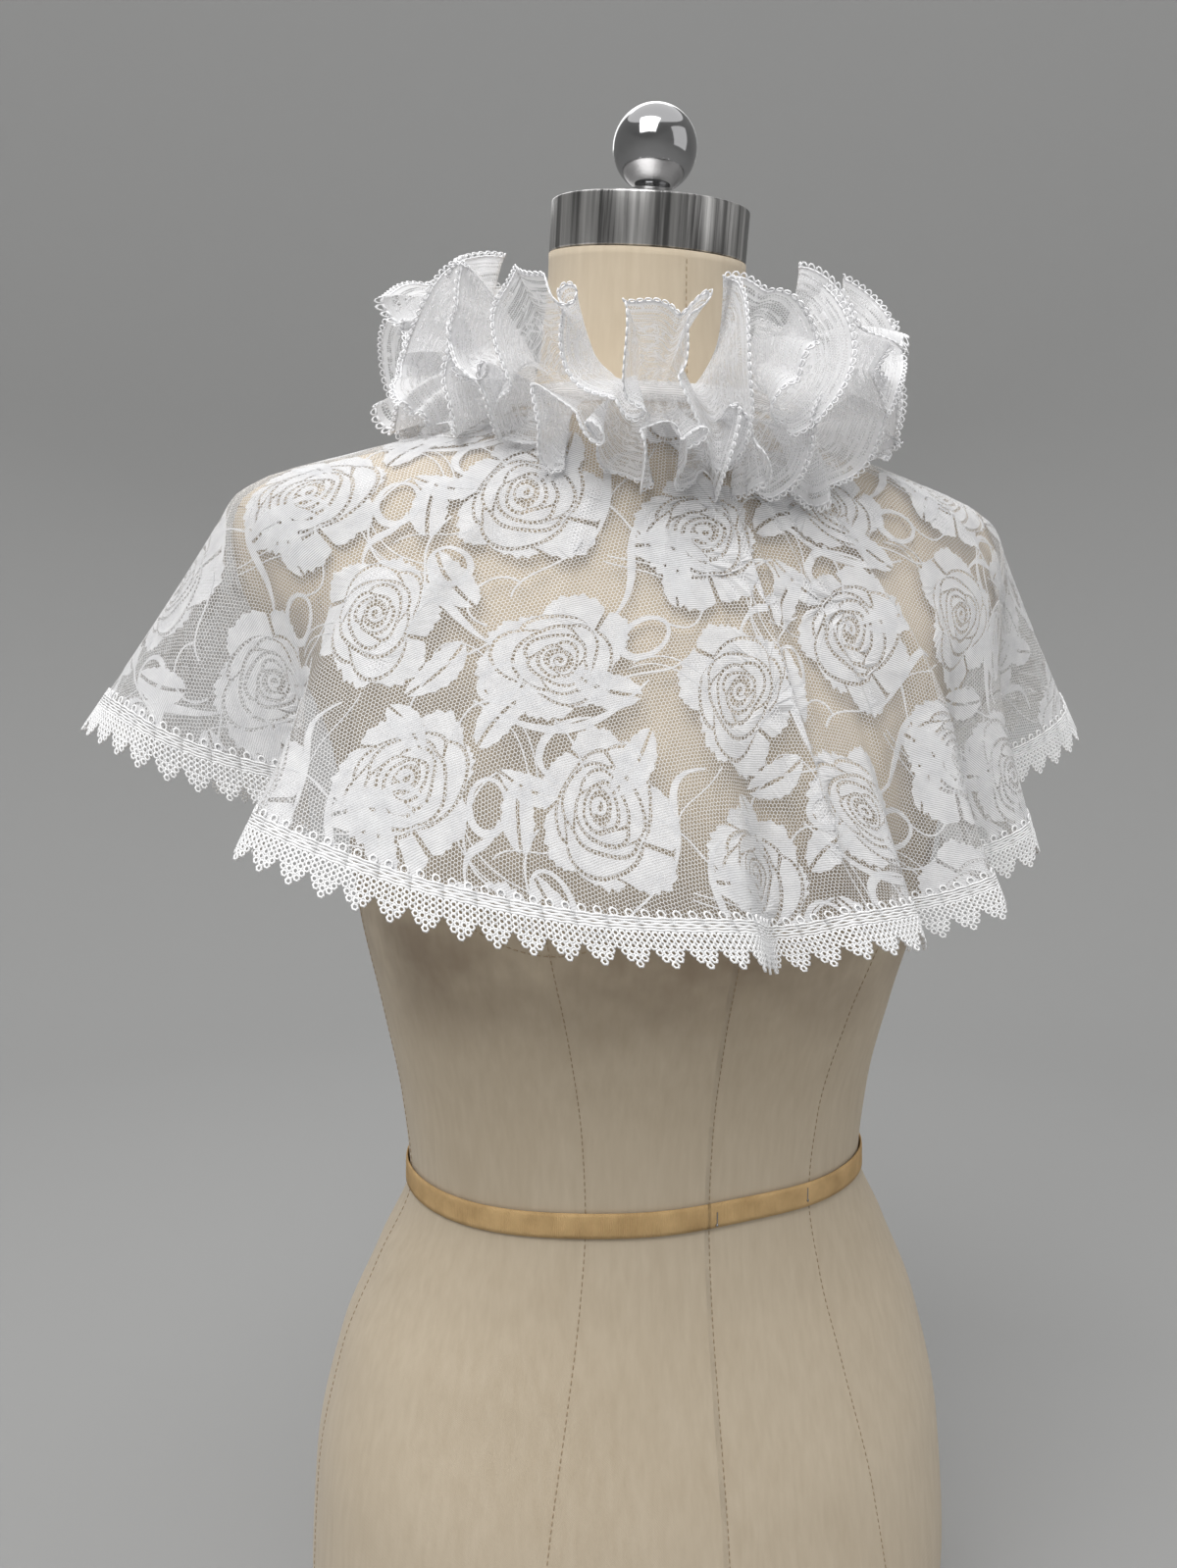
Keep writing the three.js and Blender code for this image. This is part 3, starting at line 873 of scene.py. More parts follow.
@dataclass(frozen=True)
class Twill:
    """Tan cotton tape with fine upright ribs."""

    light: Color = (0.70, 0.47, 0.22, 1)
    dark: Color = (0.50, 0.32, 0.14, 1)
    ribs_per_metre: float = 1150.0
    relief: float = 0.00015
    roughness: float = 0.82

    def build(self) -> Finish:
        """Makes the twill.

        Returns:
            The material.
        """
        graph = ShaderGraph("twill_tape")
        ribs = graph.wave(graph.part(graph.attribute("flat"), "X"), self.ribs_per_metre)
        wear = graph.noise(graph.object_place(), 60, 4)
        color = graph.blend(graph.remap(wear, 0.35, 0.7, 0, 1), self.light, self.dark)
        bumped = graph.bump(graph.math("ADD", ribs, wear), self.relief, 0.8)
        return graph.finish(graph.surface(color, self.roughness, Normal=bumped))


@dataclass(frozen=True)
class Thread:
    """White cotton or silk thread worked densely, with fine lines and a little gloom."""

    name: str
    color: Color = (0.93, 0.93, 0.935, 1)
    shade: Color = (0.76, 0.76, 0.775, 1)
    lines_per_metre: float = 950.0
    cover: float = 1.0
    glow: float = 0.25
    sheen: float = 0.1
    relief: float = 0.00012
    roughness: float = 0.8

    def build(self) -> Finish:
        """Makes the thread.

        Returns:
            The material.
        """
        graph = ShaderGraph(self.name)
        flat = graph.attribute("flat")
        along = graph.part(flat, "Y")
        drift = graph.noise(flat, 90, 3)
        sway = graph.summed(along, self.lines_per_metre * math.tau, drift, 9.0)
        lines = graph.math("SINE", sway)
        grain = graph.noise(flat, 2600, 2)
        gloom = graph.remap(graph.noise(flat, 120, 3), 0.3, 0.75, 0, 1)
        color = graph.blend(gloom, self.color, self.shade)
        bumped = graph.bump(graph.summed(lines, 0.3, grain), self.relief, 0.7)
        body = graph.surface(color, self.roughness, Normal=bumped, Sheen_Weight=self.sheen)
        cloth = graph.glowing(body, self.color, self.glow)
        if self.cover >= 1.0:
            return graph.finish(cloth)
        worked = graph.math("ADD", lines, graph.math("MULTIPLY", grain, 2.0))
        cover = graph.remap(worked, 0.0, 1.6, 2 * self.cover - 1, 1.0)
        return graph.finish(graph.opened(cover, cloth))


@dataclass(frozen=True)
class HexNet:
    """Fine hexagonal net whose meshes are open; silky streaks may run along it."""

    name: str
    pitch: float = 1.8
    thread: float = 0.30
    color: Color = (0.96, 0.96, 0.97, 1)
    streaks: float = 0.0
    sprigs: float = 0.0
    haze: float = 0.06
    sheen: float = 0.2
    edge_band: float = 0.0
    wander: float = 0.0011
    glow: float = 0.32
    roughness: float = 0.5

    def build(self) -> Finish:
        """Makes the net.

        Returns:
            The material.
        """
        graph = ShaderGraph(self.name)
        flat = graph.attribute("flat")
        wobble = graph.wired("ShaderNodeTexNoise", {"Vector": flat, "Scale": 160})
        wander = (self.wander, self.wander, 0)
        moved = graph.vector("MULTIPLY_ADD", wobble.outputs["Color"], wander, flat)
        per_pitch = (1 / (self.pitch * MM),) * 3
        edge = self.mesh_edge(graph, graph.vector("MULTIPLY", moved, per_pitch))
        half = 0.5 * self.thread / self.pitch
        covers = [graph.remap(edge, half * 0.55, half * 1.35, 1.0, self.haze)]
        gloss: dict[str, object] = {}
        if self.streaks:
            run = graph.noise(graph.vector("MULTIPLY", flat, (38, 640, 1)), 1.0, 5, 0.6)
            covers.append(graph.remap(run, 0.46, 0.56, 0, self.streaks))
            gloss["Normal"] = graph.bump(run, 0.0016, 0.8)
        if self.edge_band:
            covers += self.banded(graph, graph.part(flat, "Y"))
        if self.sprigs:
            covers += self.sprigged(graph, graph.noise(flat, 62, 2.5, 0.5))
        cover = covers[0]
        for other in covers[1:]:
            cover = graph.math("MAXIMUM", cover, other)
        body = graph.surface(self.color, self.roughness, Sheen_Weight=self.sheen,
                             Sheen_Roughness=0.4, **gloss)
        return graph.finish(graph.opened(cover, graph.glowing(body, self.color, self.glow)))

    def banded(self, graph: ShaderGraph, depth: Socket) -> list[Socket]:
        """Cover of the dense band at the free edge and of the line behind it.

        Args:
            graph: The tree.
            depth: Distance from the edge, in metres.

        Returns:
            Both covers.
        """
        width = self.edge_band * MM
        away = graph.math("ABSOLUTE", graph.math("SUBTRACT", depth, 1.9 * width))
        return [graph.remap(depth, width * 0.8, width, 0.92, 0),
                graph.remap(away, 0.0005, 0.0009, 0.9, 0)]

    def sprigged(self, graph: ShaderGraph, blob: Socket) -> list[Socket]:
        """Cover of the outlines and of the middles of the small sprigs.

        Args:
            graph: The tree.
            blob: Soft noise whose high places are the sprigs.

        Returns:
            Both covers.
        """
        rim = graph.math("ABSOLUTE", graph.math("SUBTRACT", blob, 0.55))
        return [graph.remap(rim, 0.012, 0.03, self.sprigs, 0),
                graph.remap(blob, 0.62, 0.66, 0, self.sprigs)]

    @staticmethod
    def mesh_edge(graph: ShaderGraph, place: Socket) -> Socket:
        """Distance to the nearest side of a hexagonal mesh, in pitches.

        Args:
            graph: The tree.
            place: Place on the net, in pitches.

        Returns:
            The distance, from 0 on a thread to 0.5 in the middle of a mesh.
        """
        cell = (1.0, math.sqrt(3), 1.0)
        half = (0.5, math.sqrt(3) / 2, 0.5)
        tries = []
        for start in (place, graph.vector("SUBTRACT", place, half)):
            wrapped = graph.vector("WRAP", start, cell, (0, 0, 0))
            away = graph.vector("MULTIPLY", graph.vector("SUBTRACT", wrapped, half), (1, 1, 0))
            tries.append((away, graph.vector("DOT_PRODUCT", away, away)))
        (first, reach_first), (second, reach_second) = tries
        farther = graph.math("GREATER_THAN", reach_first, reach_second)
        feeds = {"Factor": farther, "A": first, "B": second}
        pick = graph.wired("ShaderNodeMix", feeds, data_type="VECTOR")
        near = graph.vector("ABSOLUTE", pick.outputs["Result"])
        slope = graph.vector("DOT_PRODUCT", near, (0.5, math.sqrt(3) / 2, 0))
        across = graph.vector("DOT_PRODUCT", near, (1, 0, 0))
        return graph.math("SUBTRACT", 0.5, graph.math("MAXIMUM", slope, across))


# ---- dress form ---------------------------------------------------------------------------

@dataclass
class DressForm:
    """The limbless, linen-covered form: its surface and its cover."""

    neck_top: float = 766.0
    lean_start: float = 705.0
    tilt: float = 10.0
    forward: float = 1.0
    waist: float = 300.0
    columns: int = 240
    row_step: float = 4.0
    flat_radius: float = 120.0
    curves: dict[str, SteadyCurve] = field(init=False)

    def __post_init__(self) -> None:
        """Makes a curve of each size up the form."""
        heights, *sizes = zip(*FORM_SECTIONS)
        names = ("side", "front", "back", "square")
        self.curves = {name: SteadyCurve(heights, row) for name, row in zip(names, sizes)}

    def radius(self, height: Array | float, turn: Array | float) -> Array:
        """Distance of the form's surface from its axis.

        Args:
            height: Heights.
            turn: Turns from the centre front, in radians.

        Returns:
            The distances.
        """
        ahead = np.cos(turn)
        depth = np.where(ahead > 0, self.curves["front"](height), self.curves["back"](height))
        power = self.curves["square"](height)
        depth_term = (np.abs(ahead) / depth) ** power
        width_term = (np.abs(np.sin(turn)) / self.curves["side"](height)) ** power
        return (depth_term + width_term) ** (-1 / power)

    def leaned(self, points: Array) -> Array:
        """Points with the neck's forward lean and its top's tilt.

        Args:
            points: Upright points.

        Returns:
            The moved points.
        """
        neck = self.neck_top - self.lean_start
        share = np.clip((points[..., 2] - self.lean_start) / neck, 0, 1)
        moved = points.copy()
        moved[..., 1] -= self.forward * share
        moved[..., 2] += points[..., 1] * math.tan(math.radians(self.tilt)) * share
        return moved

    def surface(self, height: Array, turn: Array, lift: float = 0.0) -> Array:
        """Points on the form or just outside it."""
        return self.leaned(around(self.radius(height, turn) + lift, turn, height))

    def cover(self, finish: Finish) -> None:
        """Makes the linen cover with its closed underside and neck top.

        Args:
            finish: The linen.
        """
        rows = int(self.neck_top / self.row_step) + 1
        heights = np.linspace(self.neck_top, 0, rows)[:, None]
        turns = round_turns(self.columns)[None, :]
        grid = self.surface(heights, turns)
        ends = np.array([grid[0].mean(axis=0), grid[-1].mean(axis=0)])
        points = np.concatenate([grid.reshape(-1, 3), ends])
        made = make_object("form_cover", points, capped_faces(rows, self.columns))
        across, down = np.broadcast_arrays(turns * self.flat_radius, heights)
        set_flat(made, np.append(across, (0, 0)), np.append(down, (0, 0)))
        dress(made, finish)
        ride(made, ["form_torso"])


@dataclass
class FormSeams:
    """Stitched seams of the cover: centre, princess, side, armhole and under-bust lines."""

    form: DressForm
    pitch: float = 3.4
    lift: float = 0.12
    stitch_length: float = 2.5
    stitch_radius: float = 0.26
    stitch_sides: int = 5
    armhole_middle: float = 572.0
    armhole_half_height: float = 62.0
    underbust_low: float = 434.0
    underbust_rise: float = 22.0

    def princess(self, height: Array) -> Array:
        """Turns of the princess seam up the form, in degrees."""
        return SteadyCurve((0, 150, 300, 430, 520, 640), (41, 39, 36, 39, 45, 58))(height)

    def lines(self) -> list[Array]:
        """Guide lines of all seams.

        Returns:
            A run of points for each seam.
        """
        full = np.linspace(2, 760, 190)
        body = np.linspace(2, 640, 160)
        flank = body[:132]
        zero = np.zeros_like(full)
        made = [self.form.surface(full, zero + turn, self.lift) for turn in (0, math.pi)]
        for hand in (-1, 1):
            turns = hand * self.princess(body)
            made.append(self.form.surface(body, np.radians(turns), self.lift))
            made.append(self.form.surface(body, np.radians(180 - turns * 0.9), self.lift))
            side = np.full_like(flank, math.radians(hand * 92))
            made.append(self.form.surface(flank, side, self.lift))
            made.append(self.armhole(hand))
            made.append(self.underbust(hand))
        return made

    def armhole(self, hand: int) -> Array:
        """The armhole's oval seam on one side.

        Args:
            hand: -1 for the right side, 1 for the left.

        Returns:
            The line.
        """
        way = np.linspace(0, math.tau, 90)
        height = self.armhole_middle + self.armhole_half_height * np.cos(way)
        turn = math.radians(91) + math.radians(19) * np.sin(way)
        return self.form.surface(height, hand * turn, self.lift)

    def underbust(self, hand: int) -> Array:
        """The curved seam under one side of the bust.

        Args:
            hand: -1 for the right side, 1 for the left.

        Returns:
            The line.
        """
        way = np.linspace(-1, 1, 40)
        height = self.underbust_low + self.underbust_rise * way ** 2
        turn = np.radians(39 + 20 * way)
        return self.form.surface(height, hand * turn, self.lift)

    def build(self, finish: Finish) -> None:
        """Makes the stitches.

        Args:
            finish: The thread.
        """
        points, edges = [], []
        for line in self.lines():
            first = len(points)
            points.extend(line.tolist())
            edges.extend((i, i + 1) for i in range(first, len(points) - 1))
        made = make_object("form_seams", np.array(points), [], edges)
        stitch = self.stitch()
        settings = {"Stitch": stitch, "Pitch": self.pitch * MM, "Finish": finish}
        stitch_tree().apply(made, settings)
        drop(stitch)
        ride(made)

    def stitch(self) -> Piece:
        """One stitch, a slim spindle along X.

        Returns:
            The helper object.
        """
        sides, radius = self.stitch_sides, self.stitch_radius
        points = [(-self.stitch_length / 2, 0, 0), (self.stitch_length / 2, 0, 0)]
        for x in (-self.stitch_length * 0.3, self.stitch_length * 0.3):
            for k in range(sides):
                turn = math.tau * k / sides
                points.append((x, radius * math.cos(turn), radius * math.sin(turn)))
        faces = []
        near, far = 2, 2 + sides
        for k in range(sides):
            after = (k + 1) % sides
            faces.append((0, near + after, near + k))
            faces.append((1, far + k, far + after))
            faces.append((near + k, near + after, far + after, far + k))
        return make_object("stitch", np.array(points), faces)


@dataclass
class NeckHardware:
    """Steel cap on the neck's tilted top, and the ball on its stem."""

    form: DressForm
    gap: float = 0.3
    cap_radius: float = 50.0
    cap_height: float = 25.0
    edge: float = 1.2
    ball_radius: float = 21.0
    stem_radius: float = 9.0
    foot_radius: float = 13.0
    foot_height: float = 3.0
    stem_height: float = 8.0
    sides: int = 128

    def turned(self, name: str, profile: Sequence[tuple[float, float]], base: float,
               finish: Finish) -> Piece:
        """A turned piece on the neck's tilted top.

        Args:
            name: The piece's name.
            profile: Radius and height from the bottom of the axis to its top.
            base: Height of the profile's zero above the neck's top.
            finish: Its metal.

        Returns:
            The piece.
        """
        radii, heights = np.array(profile[-2:0:-1], float).T[..., None]
        rings = around(radii, round_turns(self.sides)[None, :], heights)
        ends = np.array([[0, 0, profile[-1][1]], [0, 0, profile[0][1]]], float)
        points = np.concatenate([rings.reshape(-1, 3), ends])
        points[:, 2] += base
        tilt = Matrix.Rotation(math.radians(self.form.tilt), 3, "X")
        turned = points @ np.array(tilt).T
        turned[:, 1] -= self.form.forward
        turned[:, 2] += self.form.neck_top
        made = make_object(name, turned, capped_faces(len(radii), self.sides))
        set_vectors(made, "own", points * MM)
        dress(made, finish)
        return made

    def cap_profile(self) -> list[tuple[float, float]]:
        """Profile of the cap with rounded edges and a shallow turned groove.

        Returns:
            Radius and height of each corner.
        """
        r, h, e = self.cap_radius, self.cap_height, self.edge
        quarter = np.linspace(0, math.pi / 2, 5)
        corner = [(r - e + e * math.sin(a), e - e * math.cos(a)) for a in quarter]
        upper = [(x, h - y) for x, y in reversed(corner)]
        sunk = h - 0.3
        face = [(r - 8, h), (r - 9, sunk), (22, sunk), (0, sunk)]
        return [(0, 0), (r - 8, 0), *corner, *upper, *face]

    def ball_profile(self) -> list[tuple[float, float]]:
        """Profile of the foot, the stem and the ball.

        Returns:
            Radius and height of each corner.
        """
        ball, stem = self.ball_radius, self.stem_radius
        foot, top = self.foot_radius, self.foot_height
        start = math.acos(stem / ball)
        middle = self.stem_height + ball * math.sin(start)
        profile = [(0, 0), (foot - 0.6, 0), (foot, 0.6), (foot, top)]
        profile += [(stem + 1.2, top + 0.7), (stem, top + 2)]
        for angle in np.linspace(-start, math.pi / 2, 40)[:-1]:
            profile.append((ball * math.cos(angle), middle + ball * math.sin(angle)))
        return [*profile, (0, middle + ball)]

    def build(self, steel: Finish, chrome: Finish) -> None:
        """Makes both pieces.

        Args:
            steel: The cap's finish.
            chrome: The ball's finish.
        """
        cap = self.turned("steel_cap", self.cap_profile(), self.gap, steel)
        ride(cap, ["neck_cap"])
        base = self.cap_height + 2 * self.gap
        ball = self.turned("ball_finial", self.ball_profile(), base, chrome)
        ride(ball, ["finial"])


@dataclass
class WaistTape:
    """Cotton tape pinned round the waist, with its pins."""

    form: DressForm
    width: float = 12.0
    thickness: float = 0.7
    stand_off: float = 1.5
    columns: int = 360
    cut_metres: float = 0.684
    flat_radius: float = 108.0
    bow: tuple[float, ...] = (0.0, 0.35, 0.5, 0.45, 0.5, 0.35, 0.0)
    head_radius: float = 0.75
    pin_radius: float = 0.28
    pin_length: float = 6.4
    pin_places: tuple[tuple[float, float], ...] = (
        (2.0, -1.0), (34.0, 0.5), (-150.0, 0.0), (178.0, 0.0),
    )

    def build(self, finish: Finish, pin_finish: Finish) -> None:
        """Makes the tape and its pins.

        Args:
            finish: The cotton.
            pin_finish: The pins' metal.
        """
        turns = round_turns(self.columns)[None, :]
        wander = 0.6 * np.sin(3 * turns + 0.7) + 0.35 * np.sin(7 * turns)
        bow = np.array(self.bow)[:, None]
        rows = np.linspace(self.width / 2, -self.width / 2, len(bow))[:, None]
        height = self.form.waist + rows + wander
        reach = self.form.radius(height, turns) + self.stand_off - 0.15 + bow
        faces = grid_faces(len(bow), self.columns, True)
        made = make_object("twill_tape", around(reach, turns, height), faces)
        set_flat(made, turns * self.flat_radius, height)
        thicken(made, self.thickness)
        dress(made, finish)
        ride(made, ["waist_tape"])
        self.pins(pin_finish)

    def pins(self, finish: Finish) -> None:
        """Small pins that hold the tape.

        Args:
            finish: Their metal.
        """
        parts = []
        half = self.pin_length / 2
        for turn, height in self.pin_places:
            angle = math.radians(turn)
            level = self.form.waist + height
            reach = float(self.form.radius(level, angle)) + self.stand_off + self.head_radius
            head = Vector((reach * math.sin(angle), -reach * math.cos(angle), level - half)) * MM
            bpy.ops.mesh.primitive_uv_sphere_add(
                segments=10, ring_count=6, radius=self.head_radius * MM, location=head)
            parts.append(bpy.context.object)
            shaft = head + Vector((0, 0, half * MM))
            bpy.ops.mesh.primitive_cylinder_add(
                vertices=8, radius=self.pin_radius * MM, depth=self.pin_length * MM, location=shaft)
            parts.append(bpy.context.object)
        for part in parts:
            part.data.transform(part.matrix_world)
            part.matrix_world = Matrix.Identity(4)
        made = join("tape_pins", parts)
        dress(made, finish)
        ride(made)


# ---- cape ---------------------------------------------------------------------------------

@dataclass
class Drape:
    """The full-circle cut, draped over the form: where each point of the flat cloth hangs."""

    form: DressForm
    lace_length: float = 248.0
    edging_depth: float = 21.0
    inner_radius: float = 66.0
    seam_height: float = 684.0
    seam_drop: float = 2.0
    seam_clearance: float = 3.4
    form_clearance: float = 4.5
    columns: int = 640
    row_step: float = 3.1
    line_step: float = 4.0
    ease: float = 20.0
    gathers: int = 62
    gather_height: float = 1.3
    gather_reach: float = 46.0
    turns: Array = field(init=False)
    lines: list[tuple[Array, Array, Array]] = field(init=False)

    def __post_init__(self) -> None:
        """Spreads the columns along the hem and hangs a line of cloth in each."""
        samples = np.linspace(-math.pi, math.pi, 2881)
        hem = SteadyCurve(*zip(*HEM_OUTLINE), 360.0)
        reach = hem(np.degrees(samples))
        outline = around(reach, samples, np.zeros_like(samples))
        steps = np.linalg.norm(np.diff(outline, axis=0), axis=1)
        sums = np.append(0.0, np.cumsum(steps))
        wanted = np.linspace(0, sums[-1], self.columns, endpoint=False)
        self.turns = np.interp(wanted, sums, samples)
        reaches = hem(np.degrees(self.turns))
        self.lines = [self.line(turn, reach) for turn, reach in zip(self.turns, reaches)]

    def seam_level(self, turn: Array | float) -> Array:
        """Height of the neck seam."""
        return self.seam_height - self.seam_drop * np.cos(turn)

    def line(self, turn: float, reach: float) -> tuple[Array, Array, Array]:
        """The cloth's line down one direction.

        Args:
            turn: The direction, in radians.
            reach: The hem's distance from the axis.

        Returns:
            Distances along the line, and its radii and heights there.
        """
        seam = float(self.seam_level(turn))
        heights = np.arange(seam - self.line_step, self.form.waist + 90, -self.line_step)
        eased = np.clip((seam - heights) / self.ease, 0, 1)
        clearance = self.seam_clearance + (self.form_clearance - self.seam_clearance) * eased
        radii = self.form.radius(heights, turn) + clearance
        radii = np.append(float(self.form.radius(seam, turn)) + self.seam_clearance, radii)
        heights = np.append(seam, heights)
        hull, slopes = [0], []
        while hull[-1] < len(radii) - 1:
            i = hull[-1]
            angles = np.arctan2(radii[i + 1:] - radii[i], heights[i] - heights[i + 1:])
            best = len(angles) - 1 - int(np.argmax(angles[::-1]))
            hull.append(i + 1 + best)
            slopes.append(angles[best])
        slopes.append(-math.inf)
        chain_r, chain_z, chain_a = radii[hull], heights[hull], np.array(slopes)
        sums = np.append(0.0, np.cumsum(np.hypot(np.diff(chain_r), np.diff(chain_z))))
        low, high = self.form.waist + 60, seam - 20
        wanted = self.lace_length + self.edging_depth
        for _ in range(24):
            level = (low + high) / 2
            above = chain_z > level
            towards = np.arctan2(reach - chain_r[above], chain_z[above] - level)
            leave = int(np.argmax(towards >= chain_a[above]))
            length = sums[leave] + math.hypot(reach - chain_r[leave], chain_z[leave] - level)
            if length > wanted:
                low = level
            else:
                high = level
        return (
            np.append(sums[:leave + 1], length),
            np.append(chain_r[:leave + 1], reach),
            np.append(chain_z[:leave + 1], level),
        )

    def crease_height(self, turn: Array, distance: Array) -> Array:
        """How far the creases stand out of the cloth.

        Args:
            turn: Turns in radians.
            distance: Distances along the cloth.

        Returns:
            The heights.
        """
        fade = np.clip(distance / 8, 0, 1) * np.exp(-(distance / self.gather_reach) ** 1.5)
        total = self.gather_height * fade * np.sin(self.gathers * turn + 1.5 * np.sin(3 * turn))
        for crease in CREASES:
            share = np.clip((distance - crease.start) / (crease.end - crease.start), 0, 1)
            middle = crease.turn + crease.lean * share
            away = np.mod(np.degrees(turn) - middle + 540, 360) - 180
            rise = np.sin(math.pi * share) ** 0.6
            total += crease.height * rise * np.exp(-((away / crease.width) ** 2))
        return total

    def grid(self, distances: Array) -> Array:
        """Points of the cloth, rows down it and columns round it.

        Args:
            distances: Distances of the rows along the cloth from the neck seam.

        Returns:
            Rows by columns by three.
        """
        radii = np.empty((len(distances), self.columns))
        heights = np.empty_like(radii)
        for c, (sums, line_r, line_z) in enumerate(self.lines):
            radii[:, c] = np.interp(distances, sums, line_r)
            heights[:, c] = np.interp(distances, sums, line_z)
            beyond = np.maximum(distances - sums[-1], 0) / max(sums[-1] - sums[-2], 1e-6)
            radii[:, c] += beyond * (line_r[-1] - line_r[-2])
            heights[:, c] += beyond * (line_z[-1] - line_z[-2])
        turns = self.turns[None, :]
        rows = distances[:, None]
        return around(radii + self.crease_height(turns, rows), turns, heights)

    def flat_circle(self, grid: Array, distances: Array) -> Array:
        """Where each point lies in the flat circular cut."""
        angle = -math.pi + math.tau * ring_shares(grid)[:, :-1]
        reach = self.inner_radius + distances[:, None]
        return around(reach, angle, np.zeros_like(angle)) * (1, 1, 0)


@dataclass
class LaceNet:
    """The net ground of the cape, one ring of cloth."""

    drape: Drape
    under_edging: float = 3.0

    def build(self, finish: Finish) -> Piece:
        """The net, with its flat cut and outward direction on each vertex.

        Args:
            finish: The net.

        Returns:
            The piece.
        """
        end = self.drape.lace_length + self.under_edging
        rows = int(end / self.drape.row_step)
        distances = np.linspace(0, end, rows)
        grid = self.drape.grid(distances)
        made = make_object("lace_net", grid, grid_faces(rows, self.drape.columns, True))
        set_vectors(made, "flat", self.drape.flat_circle(grid, distances) * MM)
        set_vectors(made, "outward", ring_normals(grid))
        dress(made, finish)
        ride(made, ["cape_body"])
        return made


class Ring(NamedTuple):
    """One ring of petals of a rose: how many, their reach, depth of lobes, slant and spin."""

    petals: int
    reach: float
    lobe: float
    slant: float
    spin: float


@dataclass
class Pen:
    """Gathers the corners and faces of what is drawn."""

    points: list[tuple[float, float, float]] = field(default_factory=list)
    faces: list[tuple[int, ...]] = field(default_factory=list)

    def build(self, name: str) -> Piece:
        """What is drawn, as an object."""
        return make_object(name, np.array(self.points), self.faces)


@dataclass
class MotifPen(Pen):
    """Draws closed, thin motifs as strips between two rails in the flat cut."""

    half_height: float = 0.16

    def strip(self, left: Array, right: Array, closed: bool = False) -> None:
        """Adds a thin solid between two rails of the same number of points.

        Args:
            left: Points of one rail.
            right: Points of the other.
            closed: Whether the rails close on themselves.
        """
        count = len(left)
        start = len(self.points)
        for height in (self.half_height, -self.half_height):
            for rail in (left, right):
                self.points.extend((float(x), float(y), height) for x, y in rail)
        top_l, top_r, low_l, low_r = (start + k * count for k in range(4))
        for i in range(count if closed else count - 1):
            j = (i + 1) % count
            self.faces.append((top_l + i, top_r + i, top_r + j, top_l + j))
            self.faces.append((low_l + i, low_l + j, low_r + j, low_r + i))
            self.faces.append((top_l + i, top_l + j, low_l + j, low_l + i))
            self.faces.append((top_r + j, top_r + i, low_r + i, low_r + j))
        if not closed:
            last = count - 1
            self.faces.append((top_l, low_l, low_r, top_r))
            self.faces.append((top_l + last, top_r + last, low_r + last, low_l + last))

    def cord(self, route: Array, width: Array | float) -> None:
        """Adds a flat cord along a route.

        Args:
            route: Points of its middle line.
            width: Its width, or a column of widths.
        """
        ahead = np.gradient(route, axis=0)
        ahead /= np.linalg.norm(ahead, axis=1, keepdims=True)
        aside = np.stack([-ahead[:, 1], ahead[:, 0]], axis=1) * width / 2
        self.strip(route - aside, route + aside)

    def patch(self, *corners: Array) -> None:
        """Adds one flat thread.

        Args:
            corners: Its corners in order.
        """
        start = len(self.points)
        self.points.extend((float(x), float(y), 0.0) for x, y in corners)
        self.faces.append(tuple(range(start, start + len(corners))))

    def build(self, name: str) -> Piece:
        """The motif as an object, shaded flat."""
        return facet(super().build(name))


